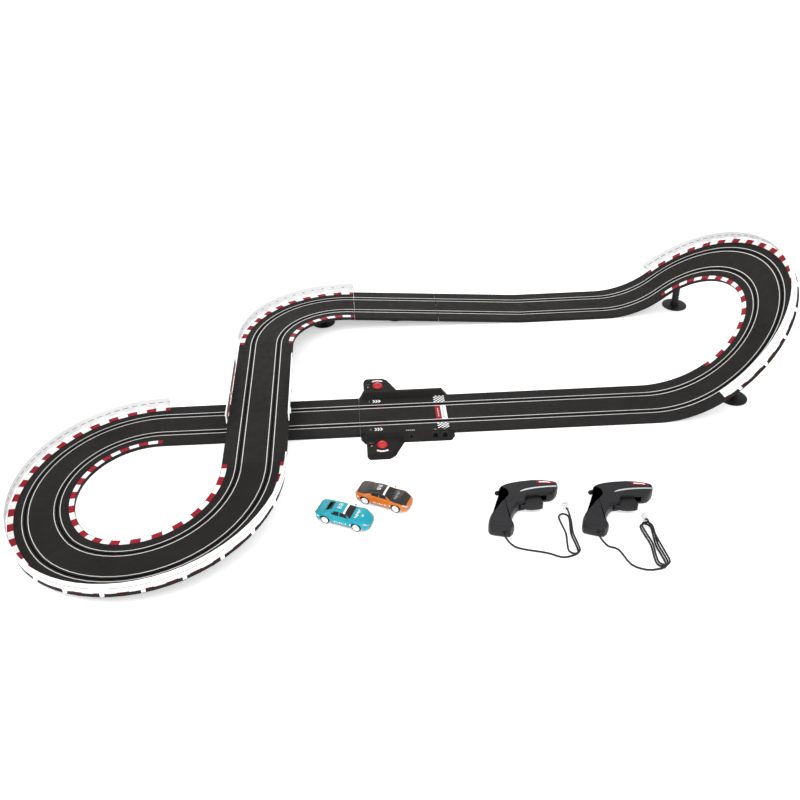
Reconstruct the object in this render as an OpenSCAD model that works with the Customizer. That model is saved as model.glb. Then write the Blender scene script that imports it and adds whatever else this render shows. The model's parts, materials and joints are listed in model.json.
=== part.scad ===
// Slot car track set: a closed two-lane circuit with a bridge and a banked U-turn,
// a start section with lap counters, two cars and two hand controllers.
// Millimetres, +Z up. The origin is on the floor under the middle of the start section,
// +X is the racing direction of the main straight and +Y points to the far straight.

/* [Layout] */
// Length of one straight piece, and the centreline radius of every curved piece
piece_len = 190; // [185:1:195]
// Width of the roadway
track_w = 114; // [112:1:116]
// Height of a track piece, floor to road surface
track_h = 7; // [7:0.5:8]
// Height of the bridge road above the ground road
bridge_h = 55; // [50:1:60]
// Tilt of the banked U-turn
bank_angle = 41; // [36:1:43]

/* [Lanes] */
// Distance from the middle of the road to each slot
lane_offset = 27; // [25:0.5:29]
// Width of the guide slot
slot_w = 3; // [2.6:0.1:3.4]
// Depth of the guide slot
slot_depth = 5; // [4.5:0.1:5.2]
// Distance between the two conductor strips beside a slot
strip_gap = 10.5; // [9:0.1:11]
// Width of a conductor strip
strip_w = 1.4; // [1.2:0.1:1.8]

/* [Guard rails] */
// Height of the guard rail above the road
guard_h = 23; // [18:1:26]
// Thickness of the guard rail
guard_t = 1.4; // [1.2:0.1:1.8]

/* [Start section] */
// Height of the ridge that holds the sockets
ridge_h = 17; // [16:0.5:19]
// Height of the lap counter platforms
platform_h = 9; // [8.6:0.2:10]
// Distance of the lap counters from the middle of the road
dial_y = 93; // [91:1:95]
// Radius of a lap counter knob
knob_r = 10.5; // [9:0.5:12]

/* [Cars] */
// Distance between a car's axles
wheelbase = 58; // [57:1:60]
// Radius of the tyres
tyre_r = 8.3; // [8.1:0.1:8.5]
// Width of the car body
car_w = 42; // [41:1:44]

/* [Controllers] */
// Thickness of a controller lying on its side
grip_t = 24; // [22:1:28]
// Wall thickness of the controller shells
shell_wall = 2; // [1.6:0.1:2.4]
// Radius of the controller cable
cable_r = 1.7; // [1.5:0.1:2]

/* [Hidden] */
$fn = 64;
P = piece_len;
eps = 0.01;
gap = 0.1;                 // half of the visible joint between two track pieces
turn = 45;                 // angle of one curved piece
skin = 2.2;                // thickness of the road plate over its hollow underside
groove_w = strip_w + 0.2;
groove_d = 1.4;
strip_h = 1.5;             // a strip stands 0.2 mm proud of the road
strip_seat = 1.3;
channel_w = 16;            // solid band that carries one slot and its two strips
skirt = 2;
gap_angle = gap / P * 180 / PI;

loop_c = [-2.5 * P, -P];   // centre of the left loop
exit_c = [-0.5 * P, P];    // centre of the curve after the bridge
bridge_x = -1.5 * P;
ramp_x = 2.5 * P;          // where both straights start to climb into the banked turn
bank_x = ramp_x + P * sin(bank_angle);
bank_z = track_h + P * (1 - cos(bank_angle));
descent = bridge_h / 4;    // fall over each of the four pieces after the bridge
slope = atan(descent / P);
steps = 8;                 // facets along one climbing curve piece

asphalt = [0.09, 0.09, 0.095];
metal = [0.72, 0.71, 0.68];
white = [0.93, 0.93, 0.92];
red = [0.75, 0.03, 0.04];
black = [0.05, 0.05, 0.055];

// ---------- Cross-sections of the road: X across the road, Y up ----------

// Grooves across the road from right to left, each as [middle, width, depth].
road_grooves = [
    for (side = [1, -1])
        each [
            [side * lane_offset + strip_gap / 2, groove_w, groove_d],
            [side * lane_offset, slot_w, slot_depth],
            [side * lane_offset - strip_gap / 2, groove_w, groove_d],
        ]
];

road_outline = [
    [-track_w / 2, 0],
    [track_w / 2, 0],
    [track_w / 2, track_h],
    for (g = road_grooves)
        each [
            [g[0] + g[1] / 2, track_h],
            [g[0] + g[1] / 2, track_h - g[2]],
            [g[0] - g[1] / 2, track_h - g[2]],
            [g[0] - g[1] / 2, track_h],
        ],
    [-track_w / 2, track_h],
];

// Outline of one conductor strip, standing in its groove at x.
function strip_outline(x) = [
    [x - strip_w / 2, track_h - strip_seat],
    [x + strip_w / 2, track_h - strip_seat],
    [x + strip_w / 2, track_h - strip_seat + strip_h],
    [x - strip_w / 2, track_h - strip_seat + strip_h],
];

strip_places = [for (g = road_grooves) if (g[1] == groove_w) g[0]];

guard_x = track_w / 2 + 0.3;
guard_foot = track_h + 4;  // the rail leaves a gap over the road edge
guard_top = track_h + guard_h;

// Wall of the guard rail with a bead along its top edge.
guard_outline = [
    [guard_x, guard_foot],
    [guard_x + guard_t, guard_foot],
    [guard_x + guard_t, guard_top - 2],
    [guard_x + guard_t + 0.7, guard_top - 1.4],
    [guard_x + guard_t + 0.7, guard_top],
    [guard_x, guard_top],
];

module road_section() {
    edge_hollow = track_w / 2 - skirt - lane_offset - channel_w / 2;
    middle_hollow = 2 * lane_offset - channel_w;
    difference() {
        polygon(road_outline);
        for (side = [0, 1])
            mirror([side, 0])
                translate([lane_offset + channel_w / 2, -1])
                    square([edge_hollow, track_h - skin + 1]);
        for (side = [0, 1])
            mirror([side, 0])
                translate([skirt / 2, -1])
                    square([middle_hollow / 2 - skirt / 2, track_h - skin + 1]);
    }
}

module strip_section() {
    for (x = strip_places)
        polygon(strip_outline(x));
}

module guard_section() {
    polygon(guard_outline);
}

// ---------- Where the pieces lie ----------

// Carries a cross-section along +X from the origin.
module along(length) {
    rotate([90, 0, 90])
        linear_extrude(length)
            children();
}

// Carries a cross-section round one curved piece that starts at an angle.
module around(start, angle = turn) {
    rotate([0, 0, start + gap_angle])
        rotate_extrude(angle = angle - 2 * gap_angle)
            translate([P, 0])
                children();
}

module at_ground_straights() {
    for (i = [-2, -1, 1, 2])
        translate([(i - 0.5) * P + gap, 0, 0])
            along(P - 2 * gap)
                children();
    translate([1.5 * P + gap, 2 * P, 0])
        along(P - 2 * gap)
            children();
}

// Two straights that fall from the exit curve to the ground.
module at_descending_straights() {
    first_gap = 0.7;       // room for the tilted end of the upper piece
    for (i = [0, 1])
        translate([(i - 0.5) * P, 2 * P, (2 - i) * descent + track_h])
            rotate([0, slope, 0])
                translate([first_gap, 0, -track_h])
                    along(P / cos(slope) - first_gap - gap)
                        children();
}

module at_bridge_straights() {
    for (i = [-1, 0])
        translate([bridge_x, i * P + gap, bridge_h])
            rotate([0, 0, 90])
                along(P - 2 * gap)
                    children();
}

module at_flat_curves() {
    for (i = [0:2])
        translate(loop_c)
            around(90 + i * turn)
                children();
}

// The U-turn is a flat half circle, tilted about the line where it starts.
module at_banked_curves() {
    translate([bank_x, P, bank_z])
        rotate([0, -bank_angle, 0])
            translate([0, 0, -track_h])
                for (i = [0:3])
                    around(-90 + i * turn)
                        children();
}

// The climb from a straight into the banked turn is an arc in a vertical plane.
module at_transitions() {
    for (y = [0, 2 * P])
        translate([ramp_x, y, track_h + P])
            rotate([90, 90, 0])
                rotate([0, 0, gap_angle])
                    rotate_extrude(angle = bank_angle - 2 * gap_angle)
                        translate([P + track_h, 0])
                            mirror([1, 0])
                                rotate(-90)
                                    children();
}

// Rounds of the climbing curves: [centre, first angle, last angle, first rise, last rise].
ramp_runs = [
    for (i = [0:2])
        [loop_c, 225 + i * turn, 225 + (i + 1) * turn, bridge_h * i / 3, bridge_h * (i + 1) / 3],
    for (i = [0, 1])
        [exit_c, 90 + i * turn, 90 + (i + 1) * turn, (2 + i) * descent, (3 + i) * descent],
];

// Points of an outline carried along one climbing curve.
function run_points(outline, run) = [
    for (i = [0:steps])
        let (
            t = i / steps,
            a = run[1] + gap_angle + t * (run[2] - run[1] - 2 * gap_angle),
            z = run[3] + t * (run[4] - run[3])
        )
            for (p = outline)
                [
                    run[0][0] + (P + p[0]) * cos(a),
                    run[0][1] + (P + p[0]) * sin(a),
                    p[1] + z,
                ]
];

// Faces of a tube whose rings have n points each, numbered from a first point.
function tube_faces(n, rings, first) = concat(
    [
        for (i = [0:rings - 2])
            for (j = [0:n - 1])
                let (a = first + i * n + j, b = first + i * n + (j + 1) % n)
                    each [[a, b, b + n], [a, b + n, a + n]]
    ],
    [
        [for (j = [n - 1:-1:0]) first + j],
        [for (j = [0:n - 1]) first + (rings - 1) * n + j],
    ]
);

// Three pieces climb to the bridge and two fall away from it, for every outline given.
module at_ramp_curves(outlines) {
    n = len(outlines[0]);
    points = [for (outline = outlines) for (run = ramp_runs) each run_points(outline, run)];
    faces = [
        for (k = [0:len(outlines) * len(ramp_runs) - 1])
            each tube_faces(n, steps + 1, k * n * (steps + 1))
    ];
    polyhedron(points, faces);
}

// ---------- Track ----------

module straight_track_pieces() {
    color(asphalt) {
        at_ground_straights() road_section();
        at_descending_straights() road_section();
        at_bridge_straights() road_section();
    }
}

module flat_curve_pieces() {
    color(asphalt)
        at_flat_curves() road_section();
}

module ramp_curve_pieces() {
    color(asphalt)
        at_ramp_curves([road_outline]);
}

module banked_curve_pieces() {
    color(asphalt)
        at_banked_curves() road_section();
}

module transition_track_pieces() {
    color(asphalt)
        at_transitions() road_section();
}

module conductor_strips() {
    color(metal) {
        at_ground_straights() strip_section();
        at_descending_straights() strip_section();
        at_bridge_straights() strip_section();
        at_flat_curves() strip_section();
        at_banked_curves() strip_section();
        at_transitions() strip_section();
        translate([-P / 2 + gap, 0, 0])
            along(P - 2 * gap)
                strip_section();
    }
}

module ramp_conductor_strips() {
    color(metal)
        at_ramp_curves([for (x = strip_places) strip_outline(x)]);
}

// ---------- Guard rails ----------

bridge_guard_start = -0.42 * P;
bridge_guard_len = 1.04 * P;

// Both rails of the bridge, at a distance from their front end.
module at_bridge_rails(distance) {
    for (side = [0, 1])
        translate([bridge_x, bridge_guard_start + distance, bridge_h])
            mirror([side, 0, 0])
                rotate([0, 0, 90])
                    mirror([0, 1, 0])
                        children();
}

module guard_rails() {
    color(white) {
        at_flat_curves() guard_section();
        at_banked_curves() guard_section();
        at_bridge_rails(0)
            along(bridge_guard_len)
                guard_section();
    }
}

module ramp_guard_rails() {
    color(white)
        at_ramp_curves([guard_outline]);
}

// One clip stands against the road edge, under the foot of the rail and up its outer face.
module clip_section() {
    road_side = track_w / 2 + 0.1;
    rail_side = guard_x + guard_t + 0.1;
    clip_out = rail_side + 1.6;
    under_rail = guard_foot - 0.6;
    polygon([
        [road_side, track_h - 2.4],
        [clip_out, track_h - 2.4],
        [clip_out, guard_foot + 5],
        [rail_side, guard_foot + 5],
        [rail_side, under_rail],
        [road_side, under_rail],
    ]);
}

clip_w = 5;

module clip_at(angle) {
    clip_angle = clip_w / P * 180 / PI;
    rotate([0, 0, angle - clip_angle / 2])
        rotate_extrude(angle = clip_angle)
            translate([P, 0])
                clip_section();
}

clips_per_piece = 3;

module guard_clips() {
    pitch = turn / clips_per_piece;
    color(white) {
        translate(loop_c)
            for (i = [0:3 * clips_per_piece - 1])
                clip_at(90 + (i + 0.5) * pitch);
        translate(concat(loop_c, 0))
            for (i = [0:3 * clips_per_piece - 1])
                translate([0, 0, bridge_h * (i + 0.5) / (3 * clips_per_piece)])
                    clip_at(225 + (i + 0.5) * pitch);
        translate(exit_c)
            for (i = [0:2 * clips_per_piece - 1])
                translate([0, 0, descent * (2 + (i + 0.5) / clips_per_piece)])
                    clip_at(90 + (i + 0.5) * pitch);
        translate([bank_x, P, bank_z])
            rotate([0, -bank_angle, 0])
                translate([0, 0, -track_h])
                    for (i = [0:4 * clips_per_piece - 1])
                        clip_at(-90 + (i + 0.5) * pitch);
        for (i = [0:clips_per_piece - 1])
            at_bridge_rails((i + 0.5) / clips_per_piece * bridge_guard_len - clip_w / 2)
                along(clip_w)
                    clip_section();
    }
}

// ---------- Supports ----------

foot_r = 27;
foot_h = 2.4;
column_r = 7.5;

// Level places as [x, y, height of the road's underside].
level_supports = [
    for (i = [0:2])
        let (a = 225 + (i + 0.5) * turn)
            [loop_c[0] + P * cos(a), loop_c[1] + P * sin(a), bridge_h * (i + 0.5) / 3],
    for (i = [-1, 1])
        [bridge_x, i * P / 2, bridge_h],
    for (i = [0, 1])
        let (a = 90 + (i + 0.5) * turn)
            [exit_c[0] + P * cos(a), exit_c[1] + P * sin(a), descent * (2.5 + i)],
    [0, 2 * P, descent * 1.5],
];

// Places round the banked turn, as angles from its start.
banked_supports = [20, 90, 160];

function banked_place(a) = [bank_x + P * sin(a) * cos(bank_angle), P + P * cos(a)];
function banked_height(a) = bank_z + P * sin(a) * sin(bank_angle);

module column(height) {
    collar_r = 9;
    collar_h = 6;
    top_room = 1.5;        // clears the slope of the road above
    translate([0, 0, foot_h + 0.05]) {
        cylinder(r = column_r, h = height - foot_h - top_room);
        cylinder(r = collar_r, h = min(collar_h, height - foot_h - top_room));
    }
}

module support_columns() {
    color(black) {
        for (s = level_supports)
            if (s[2] > foot_h + 2)
                translate([s[0], s[1], 0])
                    column(s[2]);
        for (a = banked_supports)
            difference() {
                translate(banked_place(a))
                    column(banked_height(a));
                translate([bank_x, P, bank_z])
                    rotate([0, -bank_angle, 0])
                        translate([-P, -2 * P, -track_h - 0.3])
                            cube([4 * P, 4 * P, P]);
            }
    }
}

module foot_disc() {
    rim_h = 1.2;
    cylinder(r = foot_r, h = rim_h);
    translate([0, 0, rim_h])
        cylinder(r1 = foot_r - 1, r2 = 12, h = foot_h - rim_h, $fn = 96);
}

module support_feet() {
    color(black) {
        for (s = level_supports)
            if (s[2] > foot_h + 2)
                translate([s[0], s[1], 0])
                    foot_disc();
        for (a = banked_supports)
            translate(banked_place(a))
                foot_disc();
    }
}

// ---------- Start section ----------

road_edge = track_w / 2;
ridge_base = [-94, 86];    // ends of the ridge at the floor
ridge_top = [-85, 73];     // ends of the ridge at its top
ridge_out = 79;            // outer edge of the ridge at the floor
dial_x = -55;
base_t = 1.4;
deck_wall = 2.2;
lever_x = -52;
lever_y = 42;
lever_len = 15.5;
socket_x = [48, 66];
jack_x = 2;
socket_z = 8.5;

module slab(points, z, h = eps) {
    translate([0, 0, z])
        linear_extrude(h)
            polygon(points);
}

// A ridge beside the road, narrower at its top. Inset moves every face inwards.
module ridge(inset = 0) {
    low = -inset;
    hull() {
        slab([
            [ridge_base[0] + inset, road_edge - 3 + inset],
            [ridge_base[1] - inset, road_edge - 3 + inset],
            [ridge_base[1] - inset, ridge_out - 12],
            [ridge_base[1] - 8 - inset, ridge_out - inset],
            [ridge_base[0] + 8 + inset, ridge_out - inset],
            [ridge_base[0] + inset, ridge_out - 12],
        ], low);
        slab([
            [ridge_top[0] + inset, road_edge + 4 + inset],
            [ridge_top[1] - inset, road_edge + 4 + inset],
            [ridge_top[1] - inset, ridge_out - 12 - inset],
            [ridge_top[0] + inset, ridge_out - 12 - inset],
        ], ridge_h - inset - eps);
    }
}

// The lower platform that carries a lap counter.
module platform(inset = 0) {
    low = -inset;
    hull() {
        slab([
            [-84 + inset, ridge_out - 6],
            [-84 + inset, 117 - inset],
            [-79 + inset, 125 - inset],
            [-42 - inset, 125 - inset],
            [-31 - inset, 117 - inset],
            [-9 - inset, ridge_out - 6],
        ], low);
        slab([
            [-83 + inset, ridge_out - 10],
            [-83 + inset, 112 - inset],
            [-78 + inset, 119 - inset],
            [-44 - inset, 119 - inset],
            [-35 - inset, 112 - inset],
            [-13 - inset, ridge_out - 10],
        ], platform_h - inset - eps);
    }
}

// Both sides of the road at once.
module both_sides() {
    for (side = [0, 1])
        mirror([0, side, 0])
            children();
}

screw_places = [[-76, 64], [-24, 70], [66, 60.5]];
stem_r = 3;
dial_boss_r = 2;
wheel_z = 5.2;             // underside of a number wheel
number_wheel_t = 1.4;
running = 0.06;            // radial clearance of turning parts

module start_section_deck() {
    window = [9, 6];
    color(asphalt)
        difference() {
            union() {
                translate([-P / 2 + gap, 0, 0])
                    along(P - 2 * gap)
                        road_section();
                difference() {
                    both_sides() {
                        ridge();
                        platform();
                    }
                    both_sides() {
                        ridge(deck_wall);
                        platform(deck_wall);
                    }
                    translate([-P, -road_edge + 1, -1])
                        cube([2 * P, 2 * road_edge - 2, ridge_h + 2]);
                }
                both_sides()
                    for (s = screw_places)
                        translate([s[0], s[1], base_t + 0.2])
                            cylinder(r = 3, h = platform_h - base_t - 1);
            }
            both_sides() {
                translate([dial_x, dial_y, 0])
                    cylinder(r = stem_r + running, h = platform_h + 1);
                translate([dial_x - 20 - window[0] / 2, dial_y - window[1] / 2, 0])
                    cube([window[0], window[1], platform_h + 1]);
                for (s = screw_places)
                    translate([s[0], s[1], 0])
                        cylinder(r = 1.3, h = platform_h - 2);
                // pocket in which the lap lever swings
                translate([lever_x, lever_y, 2])
                    cylinder(r = lever_len + 0.5, h = 3);
            }
            for (x = socket_x)
                translate([x - 6.1, -ridge_out - 1, base_t + 1.5])
                    cube([12.2, 17.1, 12.2]);
            translate([jack_x, -road_edge - 6, socket_z])
                rotate([90, 0, 0])
                    cylinder(r = 4.3, h = 20);
        }
}

module start_section_base() {
    boss_r = 1.5;
    inner = deck_wall + 0.3;
    color(black)
        difference() {
            union() {
                both_sides() {
                    intersection() {
                        union() {
                            ridge(inner);
                            platform(inner);
                        }
                        translate([-P, road_edge + 0.4, 0])
                            cube([2 * P, P, base_t]);
                    }
                    translate([lever_x, lever_y, 0])
                        cylinder(r = boss_r, h = 4.4);
                    translate([lever_x - 12, lane_offset + channel_w / 2 + 0.3, 0])
                        cube([24, road_edge - skirt - lane_offset - channel_w / 2 - 0.6, base_t]);
                    translate([dial_x, dial_y, 0])
                        cylinder(r = dial_boss_r, h = wheel_z + 0.7);
                }
            }
            both_sides()
                for (s = screw_places)
                    translate([s[0], s[1], -1])
                        cylinder(r = 1.4, h = base_t + 2);
        }
}

module base_screws() {
    color(metal)
        both_sides()
            for (s = screw_places)
                translate([s[0], s[1], 0.1])
                    cylinder(r = 1.2, h = platform_h - 3);
}

// Knob with its stem; the stem passes through the platform to the number wheel.
module lap_knob(side) {
    dome_h = 7;
    ball_r = (knob_r * knob_r + dome_h * dome_h) / (2 * dome_h);
    knob_z = platform_h + 0.2;
    stem_h = knob_z - wheel_z - number_wheel_t;
    color(red)
        translate([dial_x, side * dial_y, knob_z]) {
            intersection() {
                cylinder(r = knob_r, h = dome_h);
                translate([0, 0, dome_h - ball_r])
                    sphere(r = ball_r, $fn = 96);
            }
            translate([0, 0, -stem_h])
                cylinder(r = stem_r, h = stem_h + 0.2);
        }
}

module lap_knob_1() lap_knob(-1);
module lap_knob_2() lap_knob(1);

// Wheel with the lap numbers; the boss of the base stands in its underside.
module number_wheel(side) {
    wheel_r = 23;
    notch_r = 1.4;
    color(white)
        translate([dial_x, side * dial_y, wheel_z])
            difference() {
                cylinder(r = wheel_r, h = number_wheel_t);
                translate([0, 0, -1])
                    cylinder(r = dial_boss_r + running, h = 1.9);
                for (a = [0:30:330])
                    rotate([0, 0, a])
                        translate([wheel_r, 0, -1])
                            cylinder(r = notch_r, h = number_wheel_t + 2);
            }
}

module number_wheel_1() number_wheel(-1);
module number_wheel_2() number_wheel(1);

// Lever that a passing car's guide pushes. Its tip stands in the slot.
module lap_lever(side) {
    boss_r = 1.5;
    color(red)
        translate([lever_x, side * lever_y, 2.3])
            difference() {
                union() {
                    cylinder(r = 3.2, h = 2.2);
                    rotate([0, 0, side * -90])
                        translate([0, -1, 0])
                            cube([lever_len - 1, 2, 2.2]);
                    rotate([0, 0, side * -90])
                        translate([lever_len - 1, 0, 0])
                            cylinder(r = 1, h = 2.2);
                }
                translate([0, 0, -1])
                    cylinder(r = boss_r + running, h = 5);
            }
}

module lap_lever_1() lap_lever(-1);
module lap_lever_2() lap_lever(1);

// Two modular sockets for the controllers and a barrel jack for the power supply.
// Their mouths follow the sloping face of the ridge.
module socket_housings() {
    body = [12, 13, 11.6];
    mouth = [9.6, 11, 7.2];
    latch = [5, 11, 3.2];
    color(black)
        intersection() {
            mirror([0, 1, 0])
                ridge(0.2);
            union() {
                for (x = socket_x)
                    translate([x - body[0] / 2, -ridge_out + 3, base_t + 1.6])
                        difference() {
                            cube(body);
                            translate([(body[0] - mouth[0]) / 2, -1, 1.6])
                                cube(mouth);
                            translate([(body[0] - latch[0]) / 2, -1, 7])
                                cube(latch);
                        }
                translate([jack_x, -road_edge - 7.5, socket_z])
                    rotate([90, 0, 0])
                        difference() {
                            cylinder(r = 4.2, h = 14);
                            translate([0, 0, 2])
                                cylinder(r = 2.8, h = 14);
                        }
            }
        }
}

module circuit_board() {
    board = [70, 13, 1];
    color("darkgreen")
        translate([-14, -72, base_t + 0.3])
            cube(board);
}

// ---------- Cars ----------
// Each car is drawn with its axles along Y, its nose towards +X and its tyres on Z = 0.

axle_r = 1;
rear_x = -wheelbase / 2;
front_x = wheelbase / 2;
keel_depth = 2;
keel_x = front_x + 9;
keel_len = 12;
car_pitch = atan(keel_depth / (keel_x - keel_len / 2 - rear_x));
wheel_in = 13.6;           // inner face of a wheel
wheel_t = 6.4;
tail_x = rear_x - 20;
nose_x = front_x + 21;

car_places = [[-128.5, -276.6, -25], [-58.7, -235.8, -26.7]];

// The keel holds the nose up a little when the car stands on a flat floor.
module at_car(n) {
    translate([car_places[n - 1][0], car_places[n - 1][1], 0])
        rotate([0, 0, car_places[n - 1][2]])
            translate([rear_x, 0, tyre_r])
                rotate([0, -car_pitch, 0])
                    translate([-rear_x, 0, -tyre_r])
                        children();
}

// Side view of the body, X forward and Y up. Inset moves it inwards.
module car_side(i = 0) {
    polygon([
        [tail_x + i, 6 - 2 * i],
        [tail_x + i, 17 - i],
        [tail_x + 3 + i, 20.4 - i],
        [tail_x + 16, 21.6 - i],
        [rear_x + 12 + i / 2, 28.4 - i],
        [-4, 29.4 - i],
        [5 - i / 2, 28.4 - i],
        [front_x - 11 - i / 2, 21.6 - i],
        [front_x + 6, 20.2 - i],
        [nose_x - 5 - i, 16.6 - i],
        [nose_x - i, 12.4],
        [nose_x - i, 8 - 2 * i],
        [nose_x - 2 - i, 5 - 2 * i],
        [tail_x + 4 + i, 5 - 2 * i],
    ]);
}

// Plan of the body, rounded at nose and tail.
module car_plan(i = 0) {
    half = car_w / 2 - i;
    polygon([
        [tail_x + i, -half + 5],
        [tail_x + 3 + i, -half + 1.5],
        [rear_x - 6, -half],
        [front_x + 4, -half],
        [nose_x - 6 - i, -half + 3],
        [nose_x - i, -half + 9],
        [nose_x - i, half - 9],
        [nose_x - 6 - i, half - 3],
        [front_x + 4, half],
        [rear_x - 6, half],
        [tail_x + 3 + i, half - 1.5],
        [tail_x + i, half - 5],
    ]);
}

// Front view of the body: X across, Y up.
module car_front(i = 0) {
    half = car_w / 2 - i;
    polygon([
        [-half + 0.8, 4 - 2 * i],
        [half - 0.8, 4 - 2 * i],
        [half, 9],
        [half, 14],
        [half - 1.6, 19],
        [half - 2.6, 21.8 - i],
        [half - 7, 29.4 - i],
        [-half + 7, 29.4 - i],
        [-half + 2.6, 21.8 - i],
        [-half + 1.6, 19],
        [-half, 14],
        [-half, 9],
    ]);
}

module car_form(i = 0) {
    intersection() {
        rotate([90, 0, 0])
            linear_extrude(2 * car_w, center = true)
                car_side(i);
        linear_extrude(60)
            car_plan(i);
        translate([-80, 0, 0])
            rotate([90, 0, 90])
                linear_extrude(160)
                    car_front(i);
    }
}

module at_wheel_axes() {
    for (x = [rear_x, front_x])
        translate([x, 0, tyre_r])
            rotate([90, 0, 0])
                children();
}

// Openings for the side windows, the windscreen and the rear window.
module window_openings() {
    rotate([90, 0, 0])
        linear_extrude(2 * car_w, center = true)
            polygon([[-15, 22.6], [-9, 26.8], [3, 26.8], [12, 22.6]]);
    for (x = [[8, 17], [-29, -19.5]])
        translate([x[0], -car_w / 2 + 6, 22.4])
            cube([x[1] - x[0], car_w - 12, 4.6]);
}

wall = 1.1;

module car_body_shell(n, tint) {
    arch_r = tyre_r + 1.4;
    color(tint)
        at_car(n)
            difference() {
                car_form();
                car_form(wall);
                at_wheel_axes() {
                    translate([0, 0, wheel_in - 1])
                        cylinder(r = arch_r, h = car_w);
                    mirror([0, 0, 1])
                        translate([0, 0, wheel_in - 1])
                            cylinder(r = arch_r, h = car_w);
                }
                window_openings();
            }
}

module car_glazing(n) {
    color("#101418")
        at_car(n)
            difference() {
                intersection() {
                    car_form(wall + 0.1);
                    translate([-33, -car_w / 2, 21])
                        cube([52, car_w, 7]);
                }
                car_form(wall + 1.1);
            }
}

module car_chassis(n) {
    deck_z = 4.6;
    deck_t = 1.6;
    half = wheel_in - 1.4;
    color(black)
        at_car(n)
            difference() {
                union() {
                    translate([tail_x + 5, -half, deck_z - deck_t])
                        cube([nose_x - tail_x - 12, 2 * half, deck_t]);
                    translate([rear_x + 11, -car_w / 2 + 3, deck_z - deck_t])
                        cube([wheelbase - 22, car_w - 6, deck_t]);
                    for (x = [rear_x, front_x])
                        for (side = [-1, 1])
                            translate([x - 3, side * (half - 1) - 1, deck_z - 0.5])
                                cube([6, 2, tyre_r - deck_z + 3.4]);
                }
                at_wheel_axes()
                    cylinder(r = axle_r + running, h = car_w, center = true);
                translate([keel_x, 0, 0])
                    cylinder(r = 1.6 + running, h = 10);
                // room for the crown gear, the pinion and the motor
                translate([rear_x - 10, -1.4, 0])
                    cube([20, 7, 10]);
                translate([rear_x + 9, -6.2, 0])
                    cube([20, 12.4, 10]);
            }
}

module car_axle(n, x) {
    color(metal)
        at_car(n)
            translate([x, 0, tyre_r])
                rotate([90, 0, 0])
                    cylinder(r = axle_r, h = 2 * (wheel_in + wheel_t - 1.2), center = true);
}

// Rim and tyre of one wheel, its outer face towards +Z.
module wheel() {
    rim_r = tyre_r - 2;
    difference() {
        union() {
            cylinder(r = tyre_r, h = wheel_t - 0.5);
            cylinder(r = tyre_r - 0.6, h = wheel_t);
        }
        translate([0, 0, wheel_t - 0.9])
            difference() {
                cylinder(r = rim_r, h = 2);
                cylinder(r = 1.8, h = 2);
                for (a = [0:72:288])
                    rotate([0, 0, a])
                        translate([0, -0.7, -1])
                            cube([rim_r, 1.4, 3]);
            }
        translate([0, 0, -1])
            cylinder(r = axle_r + 0.02, h = wheel_t - 0.1);
    }
}

module car_wheels(n, x) {
    color([0.85, 0.85, 0.85])
        at_car(n)
            for (side = [0, 1])
                mirror([0, side, 0])
                    translate([x, -wheel_in, tyre_r])
                        rotate([90, 0, 0])
                            wheel();
}

crown_teeth = 24;
pinion_teeth = 8;
crown_r = 6.5;

// Crown gear on the rear axle: its teeth face the pinion.
module car_crown_gear(n) {
    color("ivory")
        at_car(n)
            translate([rear_x, 0, tyre_r])
                rotate([90, 0, 0])
                    difference() {
                        union() {
                            translate([0, 0, -5.2])
                                cylinder(r = crown_r + 0.8, h = 2);
                            for (k = [0:crown_teeth - 1])
                                rotate([0, 0, k * 360 / crown_teeth])
                                    translate([crown_r - 1.2, -0.3, -3.3])
                                        cube([1.9, 0.6, 1.5]);
                        }
                        translate([0, 0, -6])
                            cylinder(r = axle_r + 0.02, h = 5);
                    }
}

motor_x = rear_x + 9.6;

module car_motor(n) {
    can = [16, 12, 9.6];
    color(metal)
        at_car(n)
            translate([motor_x, 0, tyre_r])
                difference() {
                    intersection() {
                        translate([0, -can[1] / 2, -can[2] / 2])
                            cube(can);
                        rotate([0, 90, 0])
                            cylinder(r = can[1] / 2, h = can[0]);
                    }
                    translate([-1, 0, 0])
                        rotate([0, 90, 0])
                            cylinder(r = 0.6 + running, h = can[0]);
                }
}

// Motor shaft with its pinion, in mesh with the crown gear.
module car_pinion(n) {
    tooth_r = 2.2;
    root_r = 1.2;
    color("gold")
        at_car(n)
            translate([rear_x + crown_r - 1.4, 0, tyre_r])
                rotate([0, 90, 0]) {
                    cylinder(r = root_r, h = 2.6);
                    for (k = [0:pinion_teeth - 1])
                        rotate([0, 0, (k + 0.5) * 360 / pinion_teeth])
                            translate([0, -0.25, 0])
                                cube([tooth_r, 0.5, 2.6]);
                    cylinder(r = 0.6, h = 14);
                }
}

// Guide keel that runs in the slot, on a swivel pin through the chassis.
module car_guide_keel(n) {
    blade = [keel_len, 1.6, keel_depth + 2.2];
    color(black)
        at_car(n)
            translate([keel_x, 0, 0]) {
                translate([-blade[0] / 2, -blade[1] / 2, -keel_depth])
                    cube(blade);
                translate([0, 0, 2.1])
                    cylinder(r = 4, h = 0.7);
                cylinder(r = 1.6, h = 6.5);
                translate([0, 0, 5])
                    cylinder(r = 2.6, h = 1.2);
            }
}

teal = [0.0, 0.5, 0.6];
orange = [0.85, 0.3, 0.04];

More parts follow.
